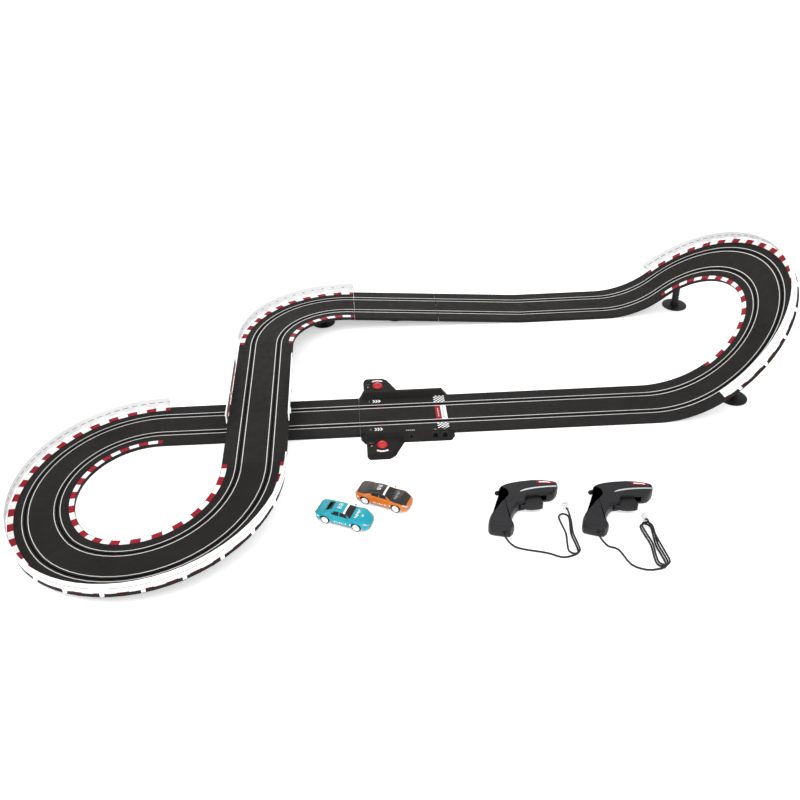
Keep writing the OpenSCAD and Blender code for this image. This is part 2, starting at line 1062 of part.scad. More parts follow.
module car_1_body_shell() car_body_shell(1, teal);
module car_1_glazing() car_glazing(1);
module car_1_chassis() car_chassis(1);
module car_1_front_axle() car_axle(1, front_x);
module car_1_rear_axle() car_axle(1, rear_x);
module car_1_front_wheels() car_wheels(1, front_x);
module car_1_rear_wheels() car_wheels(1, rear_x);
module car_1_crown_gear() car_crown_gear(1);
module car_1_motor() car_motor(1);
module car_1_pinion() car_pinion(1);
module car_1_guide_keel() car_guide_keel(1);
module car_2_body_shell() car_body_shell(2, orange);
module car_2_glazing() car_glazing(2);
module car_2_chassis() car_chassis(2);
module car_2_front_axle() car_axle(2, front_x);
module car_2_rear_axle() car_axle(2, rear_x);
module car_2_front_wheels() car_wheels(2, front_x);
module car_2_rear_wheels() car_wheels(2, rear_x);
module car_2_crown_gear() car_crown_gear(2);
module car_2_motor() car_motor(2);
module car_2_pinion() car_pinion(2);
module car_2_guide_keel() car_guide_keel(2);

// ---------- Controllers ----------
// Each lies on its right side: X along the barrel, Y up the grip, Z through its thickness.
// The origin of a controller is its trigger pin.

controller_places = [[175.8, -269.2, 3.1], [334.8, -281, -1.1]];

module at_controller(n) {
    translate([controller_places[n - 1][0], controller_places[n - 1][1], 0])
        rotate([0, 0, controller_places[n - 1][2]])
            children();
}

// Point t of the way from b to c on a smooth curve through a, b, c and d.
function smooth(a, b, c, d, t) =
    b + 0.5 * t * (c - a + t * (2 * a - 5 * b + 4 * c - d + t * (3 * (b - c) + d - a)));

function smooth_loop(points, parts) =
    let (n = len(points))
        [
            for (i = [0:n - 1])
                for (k = [0:parts - 1])
                    smooth(
                        points[(i + n - 1) % n],
                        points[i],
                        points[(i + 1) % n],
                        points[(i + 2) % n],
                        k / parts
                    )
        ];

controller_outline = smooth_loop([
    [-32.5, 31], [-30, 36.5], [-11, 43.5], [28, 46], [59, 40], [70, 33], [68, 22], [61, 13], [50, 8.5],
    [12, 8], [5, -6], [-7, -8], [-16, -17], [-24, -31], [-28, -43], [-26, -56], [-35, -66],
    [-51, -62], [-67, -56], [-68, -46], [-60, -28], [-39, -2], [-24, 13], [-24, 24],
    [-28, 27],
], 2);

edge_in = 3.5;             // rounding of the shell edges, across and along the thickness
edge_up = 8;

// Loop moved inwards by a distance, point by point; the loop runs clockwise.
function inset_loop(points, distance) =
    let (n = len(points))
        [
            for (i = [0:n - 1])
                let (run = points[(i + 1) % n] - points[(i + n - 1) % n])
                    points[i] + distance * [run[1], -run[0]] / norm(run)
        ];

// Rings of the rounded shell from its underside to its top, as [inset, height].
shell_rings = [
    for (a = [90:-30:0])
        [edge_in * (1 - cos(a)), edge_up * (1 - sin(a))],
    for (a = [0:30:90])
        [edge_in * (1 - cos(a)), grip_t - edge_up * (1 - sin(a))],
];

module controller_form() {
    points = [
        for (r = shell_rings)
            for (p = inset_loop(controller_outline, r[0]))
                [p[0], p[1], r[1]]
    ];
    polyhedron(points, tube_faces(len(controller_outline), len(shell_rings), 0));
}

turbo_r = 4.2;
cable_start = [-46, -56];

// The turbo button points backwards out of the rear of the barrel.
module at_turbo() {
    translate([-41, 29, grip_t / 2])
        rotate([0, 90, 12])
            children();
}

trigger_t = 10;
trigger_z = grip_t / 2 - trigger_t / 2;
pin_r = 1.5;

// Space inside the shells, and the mouth through which the trigger moves.
module controller_cavity() {
    translate([0, 0, shell_wall])
        linear_extrude(grip_t - 2 * shell_wall)
            offset(delta = -shell_wall - 0.6)
                polygon(controller_outline);
    translate([-7, -20, trigger_z - 0.6])
        cube([52, 50, trigger_t + 1.2]);
}

module controller_body(n) {
    boss_r = 4;
    upper_boss_z = trigger_z + trigger_t + 1.6;
    at_controller(n)
        difference() {
            union() {
                difference() {
                    controller_form();
                    controller_cavity();
                }
                // bosses that hold the trigger pin; the upper one leaves room for the spring
                cylinder(r = boss_r, h = trigger_z - 0.7);
                translate([0, 0, upper_boss_z])
                    cylinder(r = boss_r, h = grip_t - upper_boss_z);
            }
            translate([0, 0, shell_wall - 0.1])
                cylinder(r = pin_r + running, h = grip_t - 2 * shell_wall + 0.2);
            // hole for the turbo button
            at_turbo()
                cylinder(r = turbo_r + running, h = 22);
            // cable mouth in the butt
            translate([cable_start[0], cable_start[1] + 1, grip_t / 2])
                rotate([90, 0, 0])
                    cylinder(r = cable_r + 0.3, h = 20);
        }
}

module controller_lower_shell(n) {
    color(black)
        intersection() {
            controller_body(n);
            at_controller(n)
                translate([-100, -100, 0])
                    cube([200, 200, grip_t / 2 - 0.05]);
        }
}

module controller_upper_shell(n) {
    color(black)
        intersection() {
            controller_body(n);
            at_controller(n)
                translate([-100, -100, grip_t / 2 + 0.05])
                    cube([200, 200, grip_t]);
        }
}

module controller_trigger(n) {
    color(black)
        at_controller(n)
            translate([0, 0, trigger_z])
                union() {
                    linear_extrude(trigger_t)
                        polygon(smooth_loop([
                            [-5, 3], [4, 9], [20, 12], [31, 12], [33, 5], [35, -8.5],
                            [30, -12.5], [14.5, -13], [3.4, -10], [-5, -6],
                        ], 3));
                    translate([0, 0, -trigger_z + shell_wall])
                        cylinder(r = pin_r, h = grip_t - 2 * shell_wall);
                }
}

// Torsion spring on the trigger pin.
module controller_return_spring(n) {
    wire_r = 0.4;
    coils = 2;
    color(metal)
        at_controller(n)
            translate([0, 0, trigger_z + trigger_t + 0.1])
                for (k = [0:coils - 1])
                    translate([0, 0, wire_r])
                        rotate_extrude($fn = 32)
                            translate([pin_r + 0.6 + (2 * wire_r - 0.1) * k, 0])
                                circle(r = wire_r, $fn = 16);
}

module controller_turbo_button(n) {
    color(black)
        at_controller(n)
            at_turbo() {
                translate([0, 0, turbo_r])
                    cylinder(r = turbo_r, h = 14);
                translate([0, 0, turbo_r])
                    sphere(r = turbo_r);
            }
}

module controller_speed_board(n) {
    color("darkgreen")
        at_controller(n)
            translate([6, 16, shell_wall + 0.4])
                cube([40, 22, 1.2]);
}

// Ring of points round a path at p, across the direction d.
function ring(p, d, r, n) =
    let (flat = norm([d[0], d[1]]), side = [-d[1], d[0], 0] / flat, up = cross(d / norm(d), side))
        [for (j = [0:n - 1]) p + r * (cos(j * 360 / n) * side - sin(j * 360 / n) * up)];

module tube(path, r, n) {
    last = len(path) - 1;
    points = [
        for (i = [0:last])
            each ring(path[i], path[min(i + 1, last)] - path[max(i - 1, 0)], r, n)
    ];
    polyhedron(points, tube_faces(n, last + 1, 0));
}

// Gathered coil of each cable: [middle x, middle y, half length, tilt, turns].
cable_coils = [[61, -70, 46, -4, 1.25], [38, -88, 48, 2, 2.25]];
coil_waist = 5;            // half width at the tie
coil_bulge = 16;
coil_drift = 2.5;          // sideways shift of each turn
coil_pitch = 2 * cable_r + 0.25;
plug_places = [[75, -11], [43, -30]];
plug_size = [9.4, 12, 6.6];
plug_latch = [3.2, 9, 1.4];

function coil_point(coil, turns) =
    let (
        a = 360 * turns - 90,
        x = cos(a) * (coil_waist + coil_bulge * sin(a) * sin(a)) + coil_drift * turns,
        y = coil[2] * sin(a)
    )
        [
            coil[0] + x * cos(coil[3]) - y * sin(coil[3]),
            coil[1] + x * sin(coil[3]) + y * cos(coil[3]),
            cable_r + 0.05 + coil_pitch * turns,
        ];

// Path of one cable: out of the butt, over the floor, round the coil and over it to the plug.
function cable_path(n) =
    let (
        coil = cable_coils[n - 1],
        plug = plug_places[n - 1],
        low = cable_r + 0.05,
        over = low + coil_pitch * (coil[4] + 0.3),
        foot = coil[1] - coil[2],
        start = cable_start
    )
        concat(
            [
                [start[0], start[1], grip_t / 2],
                [start[0] + 0.5, start[1] - 12, grip_t / 2 - 0.6],
                [start[0] + 4, start[1] - 21, 8],
                [start[0] + 13, start[1] - 30, low + 0.6],
                [start[0] + 28, start[1] - 38, low],
                [coil[0] - 44, foot + 10, low],
                [coil[0] - 22, foot - 2, low],
            ],
            [for (k = [0:12 * coil[4]]) coil_point(coil, k / 12)],
            [
                [(coil[0] + 10 + plug[0]) / 2, coil[1] + coil[2] / 2, over],
                [plug[0], coil[1] + coil[2] + 1, over],
                [plug[0], plug[1], plug_size[2] / 2],
            ]
        );

function smooth_path(points, parts) =
    let (last = len(points) - 1)
        [
            for (i = [0:last - 1])
                for (k = [0:parts - 1])
                    smooth(
                        points[max(i - 1, 0)],
                        points[i],
                        points[i + 1],
                        points[min(i + 2, last)],
                        k / parts
                    ),
            points[last],
        ];

module controller_cable(n) {
    plug = plug_places[n - 1];
    color(black)
        at_controller(n) {
            tube(smooth_path(cable_path(n), 3), cable_r, 8);
            translate([plug[0] - plug_size[0] / 2, plug[1] - 1, 0.05])
                cube(plug_size);
            translate([plug[0] - plug_latch[0] / 2, plug[1] + 2, plug_size[2]])
                cube(plug_latch);
        }
}

module controller_1_upper_shell() controller_upper_shell(1);
module controller_1_lower_shell() controller_lower_shell(1);
module controller_1_trigger() controller_trigger(1);
module controller_1_return_spring() controller_return_spring(1);
module controller_1_turbo_button() controller_turbo_button(1);
module controller_1_speed_board() controller_speed_board(1);
module controller_1_cable() controller_cable(1);
module controller_2_upper_shell() controller_upper_shell(2);
module controller_2_lower_shell() controller_lower_shell(2);
module controller_2_trigger() controller_trigger(2);
module controller_2_return_spring() controller_return_spring(2);
module controller_2_turbo_button() controller_turbo_button(2);
module controller_2_speed_board() controller_speed_board(2);
module controller_2_cable() controller_cable(2);

// ---------- Nodes ----------

straight_track_pieces();
flat_curve_pieces();
ramp_curve_pieces();
banked_curve_pieces();
transition_track_pieces();
start_section_deck();
start_section_base();
conductor_strips();
ramp_conductor_strips();
guard_rails();
ramp_guard_rails();
guard_clips();
support_columns();
support_feet();
lap_knob_1();
lap_knob_2();
number_wheel_1();
number_wheel_2();
lap_lever_1();
lap_lever_2();
socket_housings();
circuit_board();
base_screws();
car_1_body_shell();
car_1_glazing();
car_1_chassis();
car_1_front_axle();
car_1_rear_axle();
car_1_front_wheels();
car_1_rear_wheels();
car_1_crown_gear();
car_1_motor();
car_1_pinion();
car_1_guide_keel();
car_2_body_shell();
car_2_glazing();
car_2_chassis();
car_2_front_axle();
car_2_rear_axle();
car_2_front_wheels();
car_2_rear_wheels();
car_2_crown_gear();
car_2_motor();
car_2_pinion();
car_2_guide_keel();
controller_1_upper_shell();
controller_1_lower_shell();
controller_1_trigger();
controller_1_return_spring();
controller_1_turbo_button();
controller_1_speed_board();
controller_1_cable();
controller_2_upper_shell();
controller_2_lower_shell();
controller_2_trigger();
controller_2_return_spring();
controller_2_turbo_button();
controller_2_speed_board();
controller_2_cable();
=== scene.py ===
import json
import math

import bpy
from mathutils import Matrix, Vector


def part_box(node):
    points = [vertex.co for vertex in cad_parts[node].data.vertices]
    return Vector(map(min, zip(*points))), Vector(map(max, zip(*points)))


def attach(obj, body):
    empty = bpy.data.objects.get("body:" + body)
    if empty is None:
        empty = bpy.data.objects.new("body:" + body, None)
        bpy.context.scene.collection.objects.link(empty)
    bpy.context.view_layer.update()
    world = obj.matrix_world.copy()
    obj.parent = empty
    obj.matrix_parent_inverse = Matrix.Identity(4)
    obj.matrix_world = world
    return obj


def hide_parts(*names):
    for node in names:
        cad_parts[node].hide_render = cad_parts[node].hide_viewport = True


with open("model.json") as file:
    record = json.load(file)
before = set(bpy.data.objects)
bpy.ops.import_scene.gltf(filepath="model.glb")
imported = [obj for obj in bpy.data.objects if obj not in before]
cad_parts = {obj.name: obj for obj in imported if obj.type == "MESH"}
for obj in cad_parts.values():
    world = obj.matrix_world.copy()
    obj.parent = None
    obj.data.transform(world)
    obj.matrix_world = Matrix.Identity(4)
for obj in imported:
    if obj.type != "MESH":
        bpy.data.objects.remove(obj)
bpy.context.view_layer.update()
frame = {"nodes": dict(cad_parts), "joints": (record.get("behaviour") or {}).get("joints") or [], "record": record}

# Slot car track set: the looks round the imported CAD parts. Metres, in the frame of the CAD.

MM = 0.001

# ---------- Dimensions of the layout ----------

JOINT_GAP = 0.1 * MM
deck_low, deck_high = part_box("start_section_deck")
flat_low, flat_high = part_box("flat_curve_pieces")
ramp_low, ramp_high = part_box("ramp_curve_pieces")

P = deck_high.x - deck_low.x + 2 * JOINT_GAP      # one straight, and the radius of every curve
ROAD_Z = flat_high.z
ROAD_HALF = 57 * MM
BRIDGE_H = ramp_high.z - ROAD_Z
DESCENT = BRIDGE_H / 4                             # fall of each of the four pieces after the bridge
BANK_ANGLE = math.radians(41)
LOOP = Vector((-2.5 * P, -P, 0))                   # middle of the left loop
EXIT = Vector((-0.5 * P, P, 0))                    # middle of the curve after the bridge
BRIDGE_X = -1.5 * P
BRIDGE_RAIL = (-0.42 * P, 0.62 * P)                # start and end of the rails on the bridge
BANK = Vector((                                    # middle of the banked U-turn
    2.5 * P + P * math.sin(BANK_ANGLE),
    P,
    ROAD_Z + P * (1 - math.cos(BANK_ANGLE)),
))
RAIL_ROOM = 0.3 * MM                               # between the road edge and a rail
RAIL_IN = P + ROAD_HALF + RAIL_ROOM
RAIL_OUT = RAIL_IN + 1.4 * MM
RAIL_FOOT = 4 * MM                                 # foot and top of a rail above the road
RAIL_TOP = 23 * MM
PRINT = 0.12 * MM                                  # height of a print above its surface
GRAIN_DEPTH = 0.1 * MM                             # depth of the bumps in a surface
WEAR = 0.07                                        # how far worn spots change the roughness
WELD = 0.001 * MM                                  # corners closer than this become one

# ---------- Materials ----------


def new_material(name):
    material = bpy.data.materials.new(name)
    material.use_nodes = True
    tree = material.node_tree
    shader = tree.nodes["Principled BSDF"]
    return material, tree, shader


def noise(tree, scale, detail=4):
    place = tree.nodes.new("ShaderNodeTexCoord")
    texture = tree.nodes.new("ShaderNodeTexNoise")
    texture.inputs["Scale"].default_value = scale
    texture.inputs["Detail"].default_value = detail
    tree.links.new(place.outputs["Object"], texture.inputs["Vector"])
    return texture.outputs["Fac"]


def spread(tree, value, low, high):
    """Stretches a noise value to run from low to high."""
    node = tree.nodes.new("ShaderNodeMapRange")
    node.inputs["From Min"].default_value = 0.3
    node.inputs["From Max"].default_value = 0.7
    node.inputs["To Min"].default_value = low
    node.inputs["To Max"].default_value = high
    tree.links.new(value, node.inputs["Value"])
    return node.outputs["Result"]


def finish(name, colour, rough, grain=900, bump=0.1, patch=25, vary=0.12, metal=0.0,
           coat=0.0, round_edge=0.25, shine=0.5, glow=0.0):
    """Moulded or painted surface: patchy tone, grainy bump, worn roughness and rounded edges."""
    material, tree, shader = new_material(name)
    links = tree.links
    mix = tree.nodes.new("ShaderNodeMix")
    mix.data_type = "RGBA"
    mix.inputs["A"].default_value = [c * (1 - vary) for c in colour] + [1]
    mix.inputs["B"].default_value = [min(1, c * (1 + vary)) for c in colour] + [1]
    links.new(spread(tree, noise(tree, patch), 0, 1), mix.inputs["Factor"])
    links.new(mix.outputs["Result"], shader.inputs["Base Color"])
    worn = spread(tree, noise(tree, patch * 6, 6), max(0.02, rough - WEAR), rough + WEAR)
    links.new(worn, shader.inputs["Roughness"])
    bevel = tree.nodes.new("ShaderNodeBevel")
    bevel.samples = 4
    bevel.inputs["Radius"].default_value = round_edge * MM
    relief = tree.nodes.new("ShaderNodeBump")
    relief.inputs["Strength"].default_value = bump
    relief.inputs["Distance"].default_value = GRAIN_DEPTH
    links.new(noise(tree, grain, 3), relief.inputs["Height"])
    links.new(bevel.outputs["Normal"], relief.inputs["Normal"])
    links.new(relief.outputs["Normal"], shader.inputs["Normal"])
    shader.inputs["Metallic"].default_value = metal
    shader.inputs["Coat Weight"].default_value = coat
    shader.inputs["Coat Roughness"].default_value = 0.08
    shader.inputs["Specular IOR Level"].default_value = shine
    # White emission of strength glow; on the rail plastic it is painted light that brightens the rails and clips.
    shader.inputs["Emission Color"].default_value = (1, 1, 1, 1)
    shader.inputs["Emission Strength"].default_value = glow
    return material


def clear_plastic(name):
    """Clear moulded plastic with faint ripples."""
    material, tree, shader = new_material(name)
    shader.inputs["Base Color"].default_value = (0.86, 0.88, 0.88, 1)
    shader.inputs["Transmission Weight"].default_value = 0.7
    relief = tree.nodes.new("ShaderNodeBump")
    relief.inputs["Strength"].default_value = 0.15
    relief.inputs["Distance"].default_value = GRAIN_DEPTH
    tree.links.new(noise(tree, 300), relief.inputs["Height"])
    tree.links.new(relief.outputs["Normal"], shader.inputs["Normal"])
    tree.links.new(spread(tree, noise(tree, 80), 0.12, 0.25), shader.inputs["Roughness"])
    return material


ROAD = finish(
    "road_plastic", (0.0115, 0.0105, 0.010), 0.6, grain=1400, bump=0.3, patch=14, vary=0.2, shine=0.1,
)
BASE = finish("base_plastic", (0.011, 0.011, 0.011), 0.45, grain=900, bump=0.2, shine=0.2)
STRIP = finish("strip_steel", (0.60, 0.59, 0.57), 0.35, grain=400, bump=0.08, patch=60, metal=0.4)
# Rail plastic with a faint white emission (glow 0.04): painted light that brightens the rails and their clips.
RAIL = finish("rail_plastic", (0.85, 0.87, 0.87), 0.4, grain=500, bump=0.06, patch=12, vary=0.04, glow=0.04)
RED_PRINT = finish("red_print", (0.27, 0.003, 0.014), 0.5, grain=1400, bump=0.3, patch=40, shine=0.15)
WHITE_PRINT = finish("white_print", (0.80, 0.79, 0.77), 0.5, grain=1400, bump=0.3, patch=40, vary=0.06)
GREY_PRINT = finish("grey_print", (0.30, 0.30, 0.31), 0.5, grain=1400, bump=0.3, patch=40)
RAIL_LINE = finish("rail_line_grey", (0.20, 0.20, 0.21), 0.5, grain=1400, bump=0.2, patch=40)
# Near-black seam colour: painted shade in the joint seams of the track and in the butt seam of each controller.
SEAM = finish("seam_shadow", (0.004, 0.004, 0.004), 0.7, grain=1400, bump=0.3)
KNOB = finish("knob_red", (0.42, 0.004, 0.008), 0.22, grain=500, bump=0.05, patch=60, coat=0.3, shine=0.3)
NUMBER_RED = finish("number_wheel_red", (0.22, 0.012, 0.014), 0.4, grain=900, bump=0.12)
STEEL = finish("bright_steel", (0.66, 0.66, 0.66), 0.25, grain=600, bump=0.08, metal=1.0)
BOARD = finish("circuit_green", (0.003, 0.022, 0.010), 0.35, grain=1200, bump=0.2, patch=120, vary=0.3)
TYRE = finish("tyre_rubber", (0.010, 0.010, 0.010), 0.75, grain=1600, bump=0.5, shine=0.3)
RIM = finish("rim_white", (0.82, 0.82, 0.82), 0.35, grain=700, bump=0.08, vary=0.04)
GLASS = finish("car_glass", (0.004, 0.0045, 0.005), 0.08, grain=200, bump=0.03, coat=0.2, shine=0.3)
TEAL = finish("car_teal", (0.0, 0.27, 0.34), 0.25, grain=260, bump=0.05, patch=30, coat=0.2, shine=0.25)
ORANGE = finish("car_orange", (0.54, 0.13, 0.006), 0.25, grain=260, bump=0.05, patch=30, coat=0.2, shine=0.25)
CAR_BLACK = finish("car_black", (0.010, 0.009, 0.008), 0.25, grain=260, bump=0.05, coat=0.25, shine=0.3)
LAMP = finish("car_lamp", (0.45, 0.47, 0.5), 0.15, grain=800, bump=0.1, coat=0.9)
NYLON = finish("gear_nylon", (0.80, 0.76, 0.62), 0.45, grain=900, bump=0.12)
BRASS = finish("gear_brass", (0.74, 0.52, 0.20), 0.3, grain=700, bump=0.1, metal=1.0)
GRIP = finish(
    "grip_plastic", (0.008, 0.0075, 0.009), 0.4, grain=1100, bump=0.4, patch=18, vary=0.15, shine=0.22,
)
SILVER = finish("silver_stripe", (0.55, 0.55, 0.56), 0.3, grain=600, bump=0.1, metal=0.5)
CABLE = finish("cable_sheath", (0.008, 0.008, 0.008), 0.5, grain=900, bump=0.2, shine=0.3)
CLEAR = clear_plastic("clear_plastic")

SLOT_MATERIALS = {
    "track_plastic": ROAD,
    "conductor_metal": STRIP,
    "rail_white": RAIL,
    "lap_red": KNOB,
    "wheel_red": NUMBER_RED,
    "bright_steel": STEEL,
    "circuit_green": BOARD,
    "car_teal": TEAL,
    "car_orange": ORANGE,
    "car_glass": GLASS,
    "wheel_rim": RIM,
    "gear_nylon": NYLON,
    "gear_brass": BRASS,
    "motor_can": STEEL,
    "spring_steel": STEEL,
    "cable_black": CABLE,
    "chassis_black": BASE,
    "controller_black": GRIP,
    "base_black": BASE,
}

# ---------- Mesh helpers ----------

# Faces of a box whose eight corners are listed with X slowest and Z fastest.
BOX_FACES = ((0, 1, 3, 2), (4, 6, 7, 5), (0, 4, 5, 1), (2, 3, 7, 6), (0, 2, 6, 4), (1, 5, 7, 3))


def mesh_piece(name, points, faces, material, body, picks=None):
    """A piece from points and faces; material may be a list, picked per face by picks."""
    mesh = bpy.data.meshes.new(name)
    mesh.from_pydata([tuple(p) for p in points], [], faces)
    materials = material if isinstance(material, list) else [material]
    for m in materials:
        mesh.materials.append(m)
    if picks:
        mesh.polygons.foreach_set("material_index", picks)
    piece = bpy.data.objects.new(name, mesh)
    bpy.context.scene.collection.objects.link(piece)
    mesh.update()
    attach(piece, body)
    return piece


class Sheet:
    """Gathers the faces of one piece."""

    def __init__(self):
        self.points = []
        self.faces = []

    def face(self, corners):
        first = len(self.points)
        self.points += corners
        self.faces.append(tuple(range(first, first + len(corners))))

    def flat(self, outline, place=Matrix.Identity(4)):
        self.face([place @ Vector(p) for p in outline])

    def box(self, corners):
        for face in BOX_FACES:
            self.face([corners[i] for i in face])

    def make(self, name, material, body, slot):
        return mesh_piece(name, self.points, self.faces, material, body)


def round_edges(piece, weld_reach, radius):
    """Joins the corners that meet and rounds the edges of a piece."""
    weld = piece.modifiers.new("weld", "WELD")
    weld.merge_threshold = weld_reach
    edge = piece.modifiers.new("round", "BEVEL")
    edge.width = radius
    edge.segments = 2


def bar(x0, y0, x1, y1, z):
    return [(x0, y0, z), (x1, y0, z), (x1, y1, z), (x0, y1, z)]


# Bars of a seven-segment digit, numbered from the top clockwise, with the middle bar last.
DIGIT_BARS = ["012345", "12", "01346", "01236", "1256", "02356", "023456", "012", "0123456", "012356"]


def digit(sheet, number, place, height, stroke=0.16):
    """Draws one plain digit, its middle at the place, its top towards +Y."""
    half_width = 0.28
    h = height / 2
    w = height * half_width
    s = height * stroke
    bars = [
        (-w, h - s, w, h),
        (w - s, 0, w, h),
        (w - s, -h, w, 0),
        (-w, -h, w, -h + s),
        (-w, -h, -w + s, 0),
        (-w, 0, -w + s, h),
        (-w, -s / 2, w, s / 2),
    ]
    for key in DIGIT_BARS[number]:
        sheet.flat(bar(*bars[int(key)], 0), place)


# ---------- Road surfaces ----------


def level_curve(centre, start, end, rise_start=0.0, rise_end=0.0):
    """Point on a curve at an angle in degrees, a radius and a height above the road."""
    def point(angle, radius, height):
        a = math.radians(angle)
        rise = rise_start + (rise_end - rise_start) * (angle - start) / (end - start)
        return centre + Vector((
            radius * math.cos(a),
            radius * math.sin(a),
            ROAD_Z + rise + height,
        ))
    return point, start, end


def banked_curve():
    tilt = Matrix.Rotation(-BANK_ANGLE, 3, "Y")

    def point(angle, radius, height):
        a = math.radians(angle)
        return BANK + tilt @ Vector((radius * math.cos(a), radius * math.sin(a), height))
    return point, -90, 90


CURVES = [
    level_curve(LOOP, 90, 225),
    level_curve(LOOP, 225, 360, 0, BRIDGE_H),
    level_curve(EXIT, 90, 180, 2 * DESCENT, 4 * DESCENT),
    banked_curve(),
]


PATCH_ANGLE = 1.5                                  # degrees that one face of a print spans


def ring_patch(sheet, point, a0, a1, low, high):
    """Patch between two angles; low and high are its two edges as (radius, height)."""
    parts = max(1, round((a1 - a0) / PATCH_ANGLE))
    for i in range(parts):
        b0 = a0 + (a1 - a0) * i / parts
        b1 = a0 + (a1 - a0) * (i + 1) / parts
        sheet.face([point(b0, *low), point(b0, *high), point(b1, *high), point(b1, *low)])


def kerb(red, white, curve, period, low, high):
    """Red and white blocks of equal length; the red ones are centred on each period."""
    point, start, end = curve
    first = math.floor(start / period)
    last = math.ceil(end / period)
    for k in range(first, last + 1):
        for sheet, middle in ((red, k * period), (white, (k + 0.5) * period)):
            a0 = max(start, middle - period / 4)
            a1 = min(end, middle + period / 4)
            if a1 > a0:
                ring_patch(sheet, point, a0, a1, low, high)


INNER_KERB = (0.8 * MM, 9.6 * MM)                  # both edges of a kerb, from the road edge
OUTER_KERB = (10.5 * MM, 0.4 * MM)
INNER_KERB_PERIOD = 15                             # degrees of a red and a white block together
OUTER_KERB_PERIOD = 9


def make_kerbs():
    red, white = Sheet(), Sheet()
    inner = [(P - ROAD_HALF + reach, PRINT) for reach in INNER_KERB]
    outer = [(P + ROAD_HALF - reach, PRINT) for reach in OUTER_KERB]
    for curve in CURVES:
        kerb(red, white, curve, INNER_KERB_PERIOD, *inner)
        kerb(red, white, curve, OUTER_KERB_PERIOD, *outer)
    red.make("kerb_red_print", RED_PRINT, "track", "track_plastic")
    white.make("kerb_white_print", WHITE_PRINT, "track", "track_plastic")


# ---------- Rails ----------


def make_rail_lines():
    """Thin grey line along the middle of every curved rail, on both faces."""
    lines = Sheet()
    middle = (RAIL_FOOT + RAIL_TOP) / 2
    half = 0.7 * MM
    for point, start, end in CURVES:
        for radius in (RAIL_IN - PRINT, RAIL_OUT + PRINT):
            ring_patch(lines, point, start, end, (radius, middle - half), (radius, middle + half))
    lines.make("rail_line_print", RAIL_LINE, "track", "rail_white")


CLIP_W = 5 * MM
CLIP_LOW = -2.4 * MM                               # underside of a clip, from the road
CLIP_ANGLE = 15                                    # degrees from clip to clip on a curve
BRIDGE_CLIPS = 3                                   # on each side of the bridge


def add_clip(sheet, corner):
    """One rail clip; corner gives a point from a distance along the rail, a reach and a height."""
    road_side = ROAD_HALF + 0.1 * MM
    rail_side = ROAD_HALF + 1.8 * MM
    outside = rail_side + 1.6 * MM
    under_rail = RAIL_FOOT - 0.6 * MM
    grip_top = RAIL_FOOT + 5 * MM
    for inner, outer, top in ((road_side, rail_side, under_rail), (rail_side, outside, grip_top)):
        sheet.box([
            corner(along, reach, height)
            for along in (-CLIP_W / 2, CLIP_W / 2)
            for reach in (inner, outer)
            for height in (CLIP_LOW, top)
        ])


def add_curve_clip(sheet, point, middle):
    def corner(along, reach, height):
        return point(middle + math.degrees(along / P), P + reach, height)
    add_clip(sheet, corner)


def add_bridge_clip(sheet, side, y):
    def corner(along, reach, height):
        return Vector((BRIDGE_X + side * reach, y + along, BRIDGE_H + ROAD_Z + height))
    add_clip(sheet, corner)


def make_clips():
    """Clips with rounded edges that hold the rails to the road edge, in place of the plain ones."""
    clips = Sheet()
    for point, start, end in CURVES:
        for k in range(round((end - start) / CLIP_ANGLE)):
            add_curve_clip(clips, point, start + CLIP_ANGLE * (k + 0.5))
    rails_start, rails_end = BRIDGE_RAIL
    for side in (-1, 1):
        for k in range(BRIDGE_CLIPS):
            along = (k + 0.5) / BRIDGE_CLIPS
            add_bridge_clip(clips, side, rails_start + (rails_end - rails_start) * along)
    piece = clips.make("rail_clips", RAIL, "track", "rail_white")
    round_edges(piece, WELD, 0.4 * MM)
    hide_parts("guard_clips")


def make_bridge_rail_print():
    """Two red bands on the inner face of the bridge's left rail, open at the middle joint."""
    rails_start, rails_end = BRIDGE_RAIL
    lengths = ((rails_start + 8 * MM, -4 * MM), (2 * MM, rails_end - 10 * MM))
    heights = ((5.5 * MM, 12 * MM), (13.5 * MM, 20.5 * MM))
    x = BRIDGE_X - ROAD_HALF - RAIL_ROOM + PRINT
    z = BRIDGE_H + ROAD_Z
    band = Sheet()
    for y0, y1 in lengths:
        for z0, z1 in heights:
            band.face([
                Vector((x, y0, z + z0)),
                Vector((x, y1, z + z0)),
                Vector((x, y1, z + z1)),
                Vector((x, y0, z + z1)),
            ])
    band.make("bridge_rail_print", RED_PRINT, "track", "rail_white")


# ---------- Prints of the start section ----------


def chevron(sheet, x, y, z, width, height):
    """One arrow stroke that points along +X, from its upper and its lower half."""
    h = height / 2
    for side in (1, -1):
        sheet.flat([
            (x, y + side * h, z),
            (x + width * 0.45, y + side * h, z),
            (x + width, y, z),
            (x + width * 0.55, y, z),
        ][::side])


def chequers(sheet, x0, y0, x1, y1, z, across, along):
    step_x = (x1 - x0) / across
    step_y = (y1 - y0) / along
    for i in range(across):
        for j in range(along):
            if (i + j) % 2 == 0:
                sheet.flat(bar(
                    x0 + i * step_x, y0 + j * step_y,
                    x0 + (i + 1) * step_x, y0 + (j + 1) * step_y, z,
                ))


def arc_band(sheet, x, y, z, radius, width, middle, half):
    """Band round a point; middle and half are the middle and half of its angle in degrees."""
    steps = 14
    for i in range(steps):
        a = [math.radians(middle - half + 2 * half * (i + k) / steps) for k in (0, 1)]
        sheet.flat([
            (x + r * math.cos(b), y + r * math.sin(b), z)
            for r, b in (
                (radius, a[0]), (radius + width, a[0]), (radius + width, a[1]), (radius, a[1]),
            )
        ])


